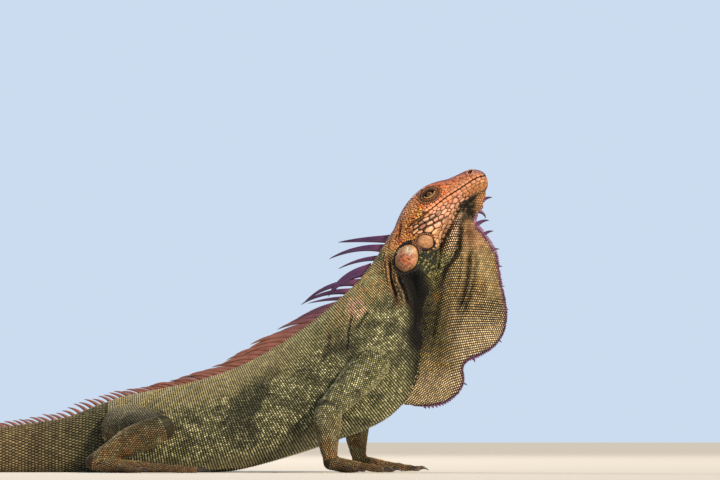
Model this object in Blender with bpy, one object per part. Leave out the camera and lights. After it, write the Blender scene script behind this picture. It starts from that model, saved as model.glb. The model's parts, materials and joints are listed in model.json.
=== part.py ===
"""Adult male green iguana, life size, propped on its forelegs, head raised and dewlap spread.

The animal faces +X with +Z up and stands on z = 0. Metres throughout; the tables below are in millimetres
and are turned into metres by mm(). The body is one family of cross-sections from snout to tail tip, parted
into nodes by planes with a thin gap. Limbs are cut to fit what they grow from.
"""

import math
import random

import bmesh
import bpy
from mathutils import Matrix, Vector
from mathutils.bvhtree import BVHTree

# Driving dimensions
GAP = 0.0003  # clearance kept between touching nodes
HEAD_PITCH = math.radians(31)  # the snout points this far above level
HEAD_ROLL = math.radians(-8)  # the crown leans a little to the animal's left
HEAD_ORIGIN = (161.5, 225.3)  # x and z of the head frame, at the side of the mouth under the eye, mm
ROLL_LOW, ROLL_HIGH = 0.110, 0.190  # heights between which the roll comes in
EYE_AT = (5.2, 14.8, 7.0)  # forward, outward and up in the head frame, mm
EYE_RADIUS = 5.9
EYE_SLIT = (4.3, 3.0)  # half length and half height of the opening between the lids
LID_RADII = (9.2, 7.6, 7.3)
LIP_PROUD, LIP_HALF_HEIGHT = 0.0009, 3.1
MOUTH_HALF_GAP, MOUTH_DEPTH = 0.7, 0.0018
SHIELD_AT = (-39.4, -27.2)  # forward and up, as seen from the animal's right
SHIELD_RADII, SHIELD_SPIN = (12.3, 10.4), 38
# Nostril and eardrum: forward, up, long and short radius, spin in degrees, depth.
NOSTRIL = (44.6, 7.2, 1.7, 1.2, 10, 2.6)
EAR = (-34.8, -6.5, 6.2, 4.4, 62, 2.2)
TAIL_LENGTH = 880.0
TAIL_START_X = -148.0
TAIL_SWING = math.radians(30)  # how far the tail's heading swings from straight back
TAIL_WAVE = 740.0  # length of one full S of the tail
CREST_PITCH = 9.4  # spacing of the crest spines on the nape
CREST_ROOT = 0.0022  # how deep a spine's root is sunk in the back
SPIKE_ROOT = 0.0024  # and a gular spike's in the dewlap
CUT_GROWTH = GAP * 1.25  # how much larger a cutter is than the node it stands for

# How finely the lofts are made
HEAD_SIDES, HEAD_RINGS = 26, 21
AXIAL_SIDES, NECK_RINGS, TORSO_RINGS = 24, 5, 13
TAIL_SIDES, TAIL_RINGS, TAIL_STATIONS = 12, 7, 24
DIGIT_SIDES, LIMB_SIDES = 6, 12
DEWLAP_STEPS = 7

# Head sections in the head frame: dorsal forward, dorsal up, ventral forward, ventral up,
# half width, squareness, fullness of the lower half.
HEAD_SECTIONS = [
    (54.6, -1.0, 53.0, -7.5, 4.6, 2.1, 0.00),
    (53.8, 2.6, 50.8, -11.0, 8.6, 2.3, 0.02),
    (51.2, 6.0, 47.0, -13.0, 11.4, 2.4, 0.04),
    (47.0, 9.0, 42.0, -13.8, 13.4, 2.5, 0.08),
    (41.0, 10.7, 35.0, -14.0, 15.0, 2.6, 0.10),
    (33.0, 11.4, 27.0, -14.8, 16.6, 2.6, 0.12),
    (24.5, 12.6, 18.5, -16.4, 18.4, 2.6, 0.14),
    (16.5, 15.2, 11.0, -18.8, 20.4, 2.6, 0.15),
    (8.5, 16.8, 4.5, -21.8, 22.2, 2.6, 0.16),
    (0.5, 16.6, -1.0, -25.0, 24.0, 2.5, 0.18),
    (-7.5, 15.2, -5.5, -28.5, 25.6, 2.4, 0.20),
    (-15.5, 12.6, -9.0, -31.8, 26.8, 2.3, 0.22),
    (-23.0, 8.8, -11.0, -34.6, 27.4, 2.3, 0.22),
    (-30.0, 4.2, -12.0, -37.0, 27.4, 2.2, 0.20),
    (-36.5, -0.8, -14.5, -41.0, 27.2, 2.2, 0.16),
    (-43.5, -4.0, -21.5, -48.5, 27.0, 2.2, 0.12),
    (-50.6, -8.3, -30.4, -57.1, 26.2, 2.1, 0.08),
]
# Enlarged scales of the cheek, as seen from the right: forward, up, long and short radius, spin, height.
CHEEK_PLATES = [
    (-18.3, -24.1, 7.3, 5.8, -41, 2.3),
    (-11.2, -15.8, 5.2, 2.3, 3, 1.6),
    (-2.4, -15.6, 4.2, 2.2, 0, 1.4),
    (5.0, -16.6, 3.9, 2.2, -2, 1.4),
    (-4.1, -10.8, 4.2, 1.7, -4, 1.2),
    (4.0, -11.8, 4.0, 1.9, -3, 1.2),
    (11.8, -11.0, 4.0, 2.0, 0, 1.2),
    (19.0, -9.4, 3.7, 1.8, 3, 1.1),
    (26.2, -8.2, 3.5, 1.6, 4, 1.0),
    (-5.7, -22.6, 3.4, 2.5, 35, 1.5),
    (2.6, -20.2, 3.2, 2.2, 18, 1.4),
]
# Sections of neck and trunk: dorsal x and z, ventral x and z, half width, squareness, fullness below.
TRUNK_SECTIONS = [
    (117.6, 184.5, 163.0, 147.5, 25.0, 2.1, 0.04),
    (109.5, 173.0, 159.8, 129.2, 25.6, 2.1, 0.02),
    (97.8, 159.0, 155.6, 96.9, 30.0, 2.1, 0.00),
    (80.8, 143.7, 145.9, 68.0, 36.5, 2.1, 0.04),
    (57.8, 125.0, 123.3, 44.2, 41.5, 2.1, 0.08),
    (29.8, 106.3, 85.0, 27.8, 44.5, 2.1, 0.14),
    (0.0, 90.1, 38.3, 12.0, 47.0, 2.1, 0.20),
    (-34.0, 78.4, -8.5, 0.5, 47.5, 2.1, 0.24),
    (-68.0, 70.7, -52.7, -2.5, 43.0, 2.2, 0.22),
    (-97.8, 64.6, -93.5, -2.5, 33.5, 2.2, 0.14),
    (-123.3, 56.0, -123.3, -2.0, 24.0, 2.1, 0.06),
    (-148.0, 46.5, -148.0, -1.5, 19.5, 2.0, 0.02),
]
# Share of the tail's length, half height, half width.
TAIL_TAPER = [
    (0.00, 23.4, 19.5),
    (0.08, 19.0, 15.6),
    (0.20, 14.2, 11.2),
    (0.35, 10.2, 8.0),
    (0.50, 7.4, 6.0),
    (0.70, 4.7, 4.0),
    (0.88, 2.7, 2.4),
    (1.00, 1.1, 1.1),
]
# Dewlap rays in the sagittal plane: root x, root z, free edge x, free edge z.
DEWLAP_RAYS = [
    (206.5, 243.0, 209.5, 237.5),
    (203.0, 239.5, 207.0, 228.0),
    (197.0, 236.5, 203.5, 221.5),
    (191.0, 232.5, 200.0, 215.5),
    (185.5, 228.5, 200.5, 210.0),
    (179.5, 223.5, 207.0, 202.5),
    (175.0, 217.5, 214.0, 193.0),
    (171.0, 209.0, 218.8, 183.5),
    (167.5, 199.0, 221.0, 170.0),
    (164.0, 187.0, 223.2, 156.5),
    (160.5, 173.5, 226.0, 143.0),
    (158.0, 159.0, 226.8, 130.0),
    (155.5, 144.5, 223.5, 116.5),
    (153.8, 131.0, 216.0, 106.3),
    (151.5, 115.5, 205.0, 99.5),
    (149.0, 102.0, 193.8, 94.8),
    (146.5, 90.0, 189.8, 88.0),
    (143.5, 80.0, 190.8, 78.2),
    (139.5, 71.5, 186.0, 67.5),
    (133.0, 65.0, 173.0, 58.0),
    (126.5, 60.0, 152.0, 55.0),
]
DEWLAP_ROOT_THICK, DEWLAP_EDGE_THICK = 15.0, 2.2
DEWLAP_FOLD, DEWLAP_SWAY = 0.0019, 0.0035  # how far the folds and the hanging edge swing sideways
# Gular spikes: ray, length, direction in degrees above straight ahead.
GULAR_SPIKES = [
    (1.0, 5.0, 20),
    (2.6, 7.5, -55),
    (4.2, 10.0, 15),
    (5.4, 8.0, 25),
    (6.3, 5.5, 20),
    (7.4, 4.0, 10),
    (8.7, 3.2, 0),
    (10.2, 3.0, -10),
    (12.4, 3.4, -30),
    (14.4, 3.6, -60),
    (17.2, 5.0, -10),
]

# Right fore and hind limbs before the left ones are mirrored: x, y, z, half width, half depth, mm.
# Each length starts and ends at a joint, where a ball of the joint's radius rounds it.
UPPER_ARM = [
    (118, -10, 101, 8, 8),
    (114, -22, 96, 15, 14.5),
    (108, -36, 88, 16.5, 15.5),
    (96, -50, 74, 15, 14),
    (85, -59.5, 62, 12.4, 12),
    (76, -66, 52.5, 10.6, 10.6),
]
FOREARM = [
    (76, -66, 52.5, 10.6, 10.6),
    (74.8, -70, 42, 12.4, 11.8),
    (75.2, -74, 29, 10.4, 9.6),
    (76.6, -78, 16, 7.8, 7.0),
    (78, -80, 9, 6.6, 6.0),
]
PALM = [
    (78, -80, 9, 6.2, 5.8),
    (86, -81.5, 6.6, 9.2, 6.2),
    (95, -83.5, 5.4, 10.6, 5.4),
    (102.5, -85, 4.7, 7.8, 3.9),
]
THIGH = [
    (-104, -12, 36, 9, 10),
    (-100, -22, 37, 17, 19),
    (-92, -38, 38, 18, 20),
    (-80, -60, 38.5, 15.8, 17),
    (-69, -79, 38, 12.4, 13),
    (-63, -88, 37, 10.6, 10.8),
]
SHIN = [
    (-63, -88, 37, 10.6, 10.8),
    (-74, -91.5, 32.5, 11.8, 12.2),
    (-89, -94.5, 26, 11.6, 12.0),
    (-104, -97, 18, 8.6, 8.8),
    (-119, -99, 9, 6.6, 6.6),
]
SOLE = [
    (-119, -99, 8.4, 6.2, 6.2),
    (-108, -101, 6.4, 8.6, 6.2),
    (-94, -104.5, 5.6, 9.8, 5.6),
    (-84, -107, 5.2, 9.4, 5.2),
    (-77.5, -108.5, 4.6, 6.5, 3.8),
]
# Digits: start x and y on the palm or sole, heading outwards in degrees, length with the claw, base radius.
FINGERS = [
    (94, -76, -38, 22, 3.1),
    (99, -80, -14, 31, 3.3),
    (100, -85, 6, 38, 3.4),
    (97, -90, 27, 37, 3.3),
    (90, -91, 58, 27, 3.0),
]
TOES = [
    (-84, -101, -30, 24, 3.2),
    (-81, -104, -8, 37, 3.5),
    (-80, -108, 8, 53, 3.7),
    (-83, -112, 20, 66, 3.8),
    (-100, -109, 48, 42, 3.3),
]
CLAW_LEAST, CLAW_SHARE = 4.5, 0.11  # a claw's length: this plus this share of its digit
LEFT_FORE_STEP = Vector((0.024, 0.0, 0.0))  # the far foreleg stands this much further forward
LEFT_HIND_STEP = Vector((-0.012, 0.0, 0.0))

MATERIALS = {
    "head_skin": ((0.55, 0.20, 0.10), 0.55),
    "neck_skin": ((0.26, 0.25, 0.14), 0.6),
    "trunk_skin": ((0.27, 0.28, 0.17), 0.6),
    "dewlap_skin": ((0.38, 0.28, 0.13), 0.6),
    "limb_skin": ((0.42, 0.27, 0.12), 0.6),
    "tail_skin": ((0.24, 0.20, 0.12), 0.65),
    "eye": ((0.30, 0.17, 0.05), 0.12),
}


def mm(*values):
    """A vector in metres from millimetres."""
    return Vector([v * 0.001 for v in values])


def smoothstep(value):
    value = min(1.0, max(0.0, value))
    return value * value * (3 - 2 * value)


# Frames and pose

PITCH_FORWARD = Vector((math.cos(HEAD_PITCH), 0, math.sin(HEAD_PITCH)))
PITCH_UP = Vector((-math.sin(HEAD_PITCH), 0, math.cos(HEAD_PITCH)))
SIDE = Vector((0, 1, 0))
HEAD_BASE = mm(HEAD_ORIGIN[0], 0, HEAD_ORIGIN[1])


def head_point(forward, outward, up):
    """A point given in the head frame, in millimetres, as a place in the model before the head is rolled."""
    return HEAD_BASE + PITCH_FORWARD * forward * 0.001 + SIDE * outward * 0.001 + PITCH_UP * up * 0.001


def posed(point):
    """Rolls a point about the head's long axis, fully at the head and not at all at the chest."""
    share = smoothstep((point.z - ROLL_LOW) / (ROLL_HIGH - ROLL_LOW))
    if share == 0:
        return point.copy()
    turn = Matrix.Rotation(HEAD_ROLL * share, 3, PITCH_FORWARD)
    return HEAD_BASE + turn @ (point - HEAD_BASE)


# Sections


class Section:
    """One cross-section: its dorsal and ventral points, its sideways direction, half width and shape."""

    def __init__(self, dorsal, ventral, lateral, half_width, squareness, fullness):
        self.dorsal = dorsal
        self.ventral = ventral
        self.lateral = lateral
        self.half_width = half_width
        self.squareness = squareness
        self.fullness = fullness

    def numbers(self):
        return [*self.dorsal, *self.ventral, *self.lateral, self.half_width, self.squareness, self.fullness]

    def normal(self):
        """Points towards the tail."""
        return (self.dorsal - self.ventral).cross(self.lateral).normalized()

    def ring(self, count, grow=0.0, shift=0.0):
        """The outline from the dorsal point round by the left side, grown and moved along the body."""
        centre = (self.dorsal + self.ventral) / 2 + self.normal() * shift
        half = (self.dorsal - self.ventral) / 2
        half = half * (1 + grow / half.length)
        width = self.half_width + grow
        points = []
        for i in range(count):
            angle = 2 * math.pi * i / count
            across, along = math.sin(angle), math.cos(angle)
            power = 2 / self.squareness
            out = math.copysign(abs(across) ** power, across) * (1 - self.fullness * along)
            rise = math.copysign(abs(along) ** power, along)
            point = centre + half * rise + self.lateral * (width * out)
            point.z = max(point.z, -grow)
            points.append(point)
        return points


def head_section(row):
    dorsal = head_point(row[0], 0, row[1])
    ventral = head_point(row[2], 0, row[3])
    return Section(dorsal, ventral, SIDE.copy(), row[4] * 0.001, row[5], row[6])


def trunk_section(row):
    dorsal = mm(row[0], 0, row[1])
    ventral = mm(row[2], 0, row[3])
    return Section(dorsal, ventral, SIDE.copy(), row[4] * 0.001, row[5], row[6])


def tail_heading(length):
    """How far the tail turns from straight back, at a length along it in millimetres."""
    settle = smoothstep(length / 120)
    return TAIL_SWING * settle * math.sin(2 * math.pi * length / TAIL_WAVE)


def taper(share):
    """Half height and half width of the tail at a share of its length."""
    for near, far in zip(TAIL_TAPER, TAIL_TAPER[1:]):
        if share <= far[0]:
            mix = (share - near[0]) / (far[0] - near[0])
            return [near[k] + (far[k] - near[k]) * mix for k in (1, 2)]
    return list(TAIL_TAPER[-1][1:])


def tail_sections(count):
    """Sections evenly spaced along the tail's curve, each resting on the floor."""
    sections = []
    place = Vector((TAIL_START_X, 0.0))
    walked = 0.0
    step = TAIL_LENGTH / (count * 10)
    for i in range(count * 10 + 1):
        heading = math.pi + tail_heading(walked)
        if i % 10 == 0 and i > 0:
            tall, wide = taper(walked / TAIL_LENGTH)
            top = mm(place.x, place.y, tall * 1.93)
            bottom = mm(place.x, place.y, -tall * 0.07)
            lateral = Vector((math.sin(heading), -math.cos(heading), 0))
            sections.append(Section(top, bottom, lateral, wide * 0.001, 2.0, 0.02))
        place += Vector((math.cos(heading), math.sin(heading))) * step
        walked += step
    return sections


HEAD_FAMILY = [head_section(row) for row in HEAD_SECTIONS]
TRUNK_FAMILY = [trunk_section(row) for row in TRUNK_SECTIONS]
TAIL_FAMILY = tail_sections(TAIL_STATIONS)
FAMILY = HEAD_FAMILY + TRUNK_FAMILY + TAIL_FAMILY
HEAD_END = len(HEAD_FAMILY) + 0.0  # the planes that part the body, as places in the family
NECK_END = len(HEAD_FAMILY) + 2.7
TORSO_END = len(HEAD_FAMILY) + 9.6
CREST_START = len(HEAD_FAMILY) - 2.3  # the first spine stands just behind the top of the head
TAIL_ENDS = [TORSO_END + share for share in (5.0, 9.0, 13.5, 19.0)] + [len(FAMILY) - 1.0]


def section_at(place):
    """The section at a place along the family, on a smooth curve through its neighbours."""
    last = len(FAMILY) - 1
    index = min(int(place), last - 1)
    t = place - index
    rows = [FAMILY[min(max(index + k, 0), last)].numbers() for k in (-1, 0, 1, 2)]
    mixed = []
    for before, start, end, after in zip(*rows):
        pull = (end - before) / 2
        push = (after - start) / 2
        mixed.append(
            start * (2 * t**3 - 3 * t**2 + 1)
            + pull * (t**3 - 2 * t**2 + t)
            + end * (3 * t**2 - 2 * t**3)
            + push * (t**3 - t**2)
        )
    lateral = Vector(mixed[6:9]).normalized()
    return Section(Vector(mixed[0:3]), Vector(mixed[3:6]), lateral, *mixed[9:12])


# Meshes


def material(name):
    if name in bpy.data.materials:
        return bpy.data.materials[name]
    colour, roughness = MATERIALS[name]
    made = bpy.data.materials.new(name)
    made.use_nodes = True
    shader = made.node_tree.nodes["Principled BSDF"]
    shader.inputs["Base Color"].default_value = (*colour, 1)
    shader.inputs["Roughness"].default_value = roughness
    shader.inputs["Metallic"].default_value = 0
    made.diffuse_color = (*colour, 1)
    return made


def new_object(name, mesh_maker):
    mesh = bpy.data.meshes.new(name)
    shape = bmesh.new()
    mesh_maker(shape)
    bmesh.ops.triangulate(shape, faces=shape.faces)
    bmesh.ops.recalc_face_normals(shape, faces=shape.faces)
    shape.to_mesh(mesh)
    shape.free()
    made = bpy.data.objects.new(name, mesh)
    bpy.context.scene.collection.objects.link(made)
    return made


def loft(name, rings, tip=None):
    """A closed body through rings of points. The last ring runs to the tip, or else is capped."""

    def make(shape):
        rows = [[shape.verts.new(p) for p in ring] for ring in rings]
        count = len(rows[0])
        for near, far in zip(rows, rows[1:]):
            for i in range(count):
                j = (i + 1) % count
                shape.faces.new((near[i], near[j], far[j], far[i]))
        shape.faces.new(rows[0])
        if tip is None:
            shape.faces.new(rows[-1])
        else:
            end = shape.verts.new(tip)
            for i in range(count):
                shape.faces.new((rows[-1][i], rows[-1][(i + 1) % count], end))

    return new_object(name, make)


def dress(item, finish):
    """Gives a finished node its one material and smooth shading."""
    item.data.materials.clear()
    item.data.materials.append(material(finish))
    item.data.shade_smooth()
    item.data.set_sharp_from_angle(angle=math.radians(40))


def move_points(item, place):
    for vertex in item.data.vertices:
        vertex.co = place(vertex.co)


def boolean(target, pieces, operation, solver="EXACT"):
    """Joins or cuts target with pieces through one collection, applies it and removes the pieces."""
    group = bpy.data.collections.new("pieces")
    for piece in pieces:
        group.objects.link(piece)
    modifier = target.modifiers.new("join", "BOOLEAN")
    modifier.operation = operation
    modifier.operand_type = "COLLECTION"
    modifier.collection = group
    modifier.solver = solver
    graph = bpy.context.evaluated_depsgraph_get()
    result = bpy.data.meshes.new_from_object(target.evaluated_get(graph))
    target.modifiers.clear()
    target.data = result
    for piece in pieces:
        bpy.data.objects.remove(piece)
    bpy.data.collections.remove(group)
    keep_largest(target)


def keep_largest(item):
    """Drops loose scraps and sealed hollows that a Boolean leaves."""
    shape = bmesh.new()
    shape.from_mesh(item.data)
    bmesh.ops.triangulate(shape, faces=shape.faces)
    shape.faces.index_update()
    seen = [False] * len(shape.faces)
    shape.faces.ensure_lookup_table()
    groups = []
    for face in shape.faces:
        if seen[face.index]:
            continue
        seen[face.index] = True
        stack, members = [face], []
        while stack:
            here = stack.pop()
            members.append(here)
            for edge in here.edges:
                for other in edge.link_faces:
                    if not seen[other.index]:
                        seen[other.index] = True
                        stack.append(other)
        volume = 0.0
        for member in members:
            a, b, c = (v.co for v in member.verts)
            volume += a.dot(b.cross(c)) / 6
        groups.append((abs(volume), members))
    groups.sort(key=lambda pair: pair[0])
    for _, members in groups[:-1]:
        bmesh.ops.delete(shape, geom=members, context="FACES")
    bmesh.ops.delete(shape, geom=[v for v in shape.verts if not v.link_faces], context="VERTS")
    shape.to_mesh(item.data)
    shape.free()


def spaced(start, end, rings):
    """Evenly spaced places in the family."""
    return [start + (end - start) * k / (rings - 1) for k in range(rings)]


def axial_loft(name, places, sides):
    """A length of the body through places in the family, with half the gap taken off each end."""
    shapes = []
    for k, place in enumerate(places):
        shift = GAP / 2 if k == 0 else -GAP / 2 if k == len(places) - 1 else 0.0
        shapes.append([posed(p) for p in section_at(place).ring(sides, 0.0, shift)])
    return loft(name, shapes)


def body_cutter():
    """The body behind the head, a little larger than it is, to trim what grows from it."""
    places = [HEAD_END - 0.4, *NECK_PLACES, *TORSO_PLACES[1:], *TAIL_PLACES[0][1:]]
    shapes = [[posed(p) for p in section_at(place).ring(AXIAL_SIDES, CUT_GROWTH)] for place in places]
    return loft("body_cutter", shapes)


NECK_PLACES = spaced(HEAD_END, NECK_END, NECK_RINGS)
TORSO_PLACES = spaced(NECK_END, TORSO_END, TORSO_RINGS)
TAIL_PLACES = [spaced(start, end, TAIL_RINGS) for start, end in zip([TORSO_END, *TAIL_ENDS], TAIL_ENDS)]

# Crest


def crest_line():
    """The back from nape to mid tail as places in the family and distances along it in millimetres."""
    line = []
    place, walked = CREST_START, 0.0
    last = section_at(place).dorsal
    while place < TAIL_ENDS[1]:
        line.append((place, walked))
        place += 0.01
        here = section_at(place).dorsal
        walked += (here - last).length * 1000
        last = here
    return line


def crest_places():
    """Where the crest spines stand: evenly spaced in each node and clear of its ends."""
    line = crest_line()
    edges = [CREST_START, HEAD_END, NECK_END, TORSO_END, TAIL_ENDS[0], TAIL_ENDS[1]]
    spots = []
    for start, end in zip(edges, edges[1:]):
        inside = [row for row in line if start <= row[0] <= end]
        first, last = inside[0][1] + CREST_PITCH * 0.35, inside[-1][1] - CREST_PITCH * 0.78
        count = max(1, round((last - first) / CREST_PITCH))
        for k in range(count + 1):
            wanted = first + (last - first) * k / count
            spots.append(min(inside, key=lambda row: abs(row[1] - wanted)))
    return spots


def spine_length(walked):
    """Longest on the nape and shoulders, shorter along the back, low on the tail."""
    if walked < 90:
        return 40 - 4 * math.cos(walked / 22)
    if walked < 330:
        return 38 - 26 * smoothstep((walked - 90) / 200)
    return max(3.0, 12 - 9 * (walked - 330) / 260)


def spine_lean(walked):
    """Angle from straight off the back, in degrees, at the root and at the tip."""
    share = smoothstep(walked / 45)
    return 27 + 22 * share, 58 + 30 * share


def crest_spine(place, walked, rng):
    """One flattened, curved, tapering spine with its root sunk in the back."""
    section = section_at(place)
    out = (section.dorsal - section.ventral).normalized()
    along = section.normal()
    along = (along - out * along.dot(out)).normalized()
    length = spine_length(walked) * rng.uniform(0.92, 1.08) * 0.001
    root, tip = (math.radians(a) for a in spine_lean(walked))
    tilt = math.radians(rng.uniform(-4, 4))
    chord = min(0.0031, 0.0014 + length * 0.05)
    thick = min(0.0013, 0.0009 + length * 0.012)
    steps = 4 if length > 0.018 else 2
    centre = section.dorsal - out * CREST_ROOT
    rings = []
    for k in range(steps + 1):
        share = k / (steps + 1)
        lean = root + (tip - root) * share
        way = (out * math.cos(lean) + along * math.sin(lean)).normalized()
        way = (way + section.lateral * math.sin(tilt) * min(1.0, share * 2)).normalized()
        across = way.cross(section.lateral).normalized()
        size = (1 - share) ** 0.65
        rings.append(
            [
                posed(centre + across * chord * size),
                posed(centre + section.lateral * thick * size),
                posed(centre - across * chord * size),
                posed(centre - section.lateral * thick * size),
            ]
        )
        centre = centre + way * ((length + CREST_ROOT) / (steps + 1))
    return loft("spine", rings, tip=posed(centre))


def crest_between(start, end):
    """The spines that stand between two places in the family."""
    spines = []
    for order, (place, walked) in enumerate(crest_places()):
        if start < place < end:
            spines.append(crest_spine(place, walked, random.Random(40 + order)))
    return spines


# Head


def unrolled(point):
    """Takes a point of the rolled head back to where the head tables put it."""
    return HEAD_BASE + Matrix.Rotation(-HEAD_ROLL, 3, PITCH_FORWARD) @ (point - HEAD_BASE)


def head_loft(name, grow):
    """The plain head, grown or shrunk by a distance and not yet rolled."""
    shapes = []
    for k in range(HEAD_RINGS + 1):
        place = HEAD_END * k / HEAD_RINGS
        shift = -GAP / 2 if k == HEAD_RINGS else 0.0
        shapes.append(section_at(place).ring(HEAD_SIDES, grow, shift))
    return loft(name, shapes)


def surface_spot(tree, forward, up, side):
    """Where the sight line of the side view meets the head, and the outward direction there.

    forward and up are read in the head frame as they look from the animal's right once the head is rolled.
    The left side gets the mirror image of the same spot.
    """
    start = unrolled(head_point(forward, -120, up))
    sight = unrolled(head_point(forward, 0, up)) - start
    spot, normal, _, _ = tree.ray_cast(start, sight.normalized())
    if side > 0:
        spot = Vector((spot.x, -spot.y, spot.z))
        normal = Vector((normal.x, -normal.y, normal.z))
    return spot, normal


def laid_on(spot, normal, spin, side):
    """A frame on the surface. Its first column runs along the head, turned up in front by spin degrees."""
    along = PITCH_FORWARD * math.cos(math.radians(spin)) + PITCH_UP * math.sin(math.radians(spin))
    along = (along - normal * along.dot(normal)).normalized()
    across = normal.cross(along) * side
    return Matrix((along, across, normal)).transposed()


def dome(name, centre, frame, radii, sides=10, rings=6):
    """An ellipsoid, with its radii in millimetres along the frame's three columns."""

    def make(shape):
        bmesh.ops.create_uvsphere(shape, u_segments=sides, v_segments=rings, radius=1)
        for vertex in shape.verts:
            local = Vector([vertex.co[k] * radii[k] * 0.001 for k in range(3)])
            vertex.co = centre + frame @ local

    return new_object(name, make)


def eye_place(side):
    forward, outward, up = EYE_AT
    return head_point(forward, outward * side, up)


def eye_frame(side):
    """Along the head, up, and outwards from the eye's middle, a little forwards."""
    return laid_on(eye_place(side), (SIDE * side + PITCH_FORWARD * 0.10).normalized(), 0, side)


def eye_ball(name, side, radius):
    return dome(name, eye_place(side), eye_frame(side), (radius,) * 3, 14, 8)


def eye_opening(side):
    """The almond between the lids: a flaring prism that runs outwards from the eye's middle."""
    frame = eye_frame(side)
    rings = []
    for depth, spread in ((2.0, 0.96), (15.0, 1.25)):
        ring = []
        for i in range(12):
            angle = 2 * math.pi * i / 12
            along = EYE_SLIT[0] * math.cos(angle)
            across = EYE_SLIT[1] * math.sin(angle) * (1 - 0.22 * abs(math.cos(angle)))
            ring.append(eye_place(side) + frame @ mm(along * spread, across * spread, depth))
        rings.append(ring)
    return loft("opening", rings)


def mouth_height(forward):
    """Height of the mouth line in the head frame along the jaw."""
    return -1.0 - 2.2 * smoothstep((54 - forward) / 40) - 3.6 * smoothstep((20 - forward) / 28)


def mouth_slab(name, half_thick, reach):
    """A thin sheet that follows the mouth line and sticks out all round the jaws, back to its corner."""
    rings = []
    steps = 12
    for k in range(steps + 1):
        forward = reach + (62 - reach) * k / steps
        close = 0.12 + 0.88 * smoothstep((forward - reach) / 14)
        height = mouth_height(forward)
        corners = ((-34, -1), (-34, 1), (34, 1), (34, -1))
        ring = [head_point(forward, side, height + lift * half_thick * close) for side, lift in corners]
        rings.append(ring)
    return loft(name, rings)


def jaw_plates(tree, side):
    """The enlarged scales of the cheek and lower jaw, each a low dome laid on the surface."""
    plates = []
    for forward, up, long, short, spin, proud in CHEEK_PLATES:
        spot, normal = surface_spot(tree, forward, up, side)
        frame = laid_on(spot, normal, spin, side)
        plates.append(dome("plate", spot - normal * 0.0003, frame, (long, short, proud), 8, 4))
    return plates


def build_head():
    """The loft with lids, lips, plates and first spines fused on, and the openings then cut in."""
    head = head_loft("head", 0.0)
    mesh = bmesh.new()
    mesh.from_mesh(head.data)
    tree = BVHTree.FromBMesh(mesh)
    mesh.free()
    lips = head_loft("lips", LIP_PROUD)
    boolean(lips, [mouth_slab("lip_band", LIP_HALF_HEIGHT, -7)], "INTERSECT", "MANIFOLD")
    raised, sunk = [lips], []
    dishes, shields = [], []
    for side in (-1, 1):
        raised.append(dome("lids", eye_place(side), eye_frame(side), LID_RADII, 14, 8))
        raised += jaw_plates(tree, side)
        spot, normal = surface_spot(tree, SHIELD_AT[0], SHIELD_AT[1], side)
        frame = laid_on(spot, normal, SHIELD_SPIN, side)
        long, short = SHIELD_RADII
        dishes.append(dome("dish", spot, frame, (long + 1.9, short + 1.9, 2.0), 16, 8))
        shields.append(dome("shield", spot - normal * 0.0012, frame, (long, short, 4.2), 16, 8))
        sunk += [eye_opening(side), eye_ball("socket", side, EYE_RADIUS + GAP * 1000)]
        for forward, up, long, short, spin, deep in (NOSTRIL, EAR):
            spot, normal = surface_spot(tree, forward, up, side)
            sunk.append(dome("hollow", spot, laid_on(spot, normal, spin, side), (long, short, deep), 10, 6))
    boolean(head, raised, "UNION", "MANIFOLD")
    groove = mouth_slab("groove", MOUTH_HALF_GAP, -9)
    boolean(groove, [head_loft("core", -MOUTH_DEPTH)], "DIFFERENCE", "MANIFOLD")
    for cut in [groove, *dishes, *sunk]:
        boolean(head, [cut], "DIFFERENCE", "MANIFOLD")
    boolean(head, shields, "UNION", "MANIFOLD")
    move_points(head, posed)
    boolean(head, crest_between(0, HEAD_END), "UNION", "MANIFOLD")
    dress(head, "head_skin")


def build_eyes():
    for side_name, side in (("right", -1), ("left", 1)):
        eye = eye_ball(f"eye_{side_name}", side, EYE_RADIUS)
        move_points(eye, posed)
        dress(eye, "eye")


# Dewlap


def dewlap_ray(place):
    """Root and free-edge points at a place along the dewlap, from chin to chest."""
    last = len(DEWLAP_RAYS) - 1
    index = min(int(place), last - 1)
    mix = place - index
    near, far = DEWLAP_RAYS[index], DEWLAP_RAYS[index + 1]
    row = [a + (b - a) * mix for a, b in zip(near, far)]
    return mm(row[0], 0, row[1]), mm(row[2], 0, row[3])


def dewlap_offset(place, share):
    """Sideways swing of the loose skin, in metres: folds near the throat and a gentle sway of the edge."""
    along = smoothstep((place - 4) / 4) * smoothstep((17 - place) / 5)
    across = smoothstep(share / 0.15) * smoothstep((0.8 - share) / 0.3)
    fold = DEWLAP_FOLD * along * across * math.sin(2 * math.pi * share * 2.6 + place * 0.12)
    return fold + DEWLAP_SWAY * share**2 * math.sin(place * 0.36)


def dewlap_half_thickness(share):
    """Thick where it flares into the throat, thin at the free edge."""
    return (DEWLAP_EDGE_THICK + (DEWLAP_ROOT_THICK - DEWLAP_EDGE_THICK) * (1 - share) ** 3.4) * 0.0005


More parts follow.
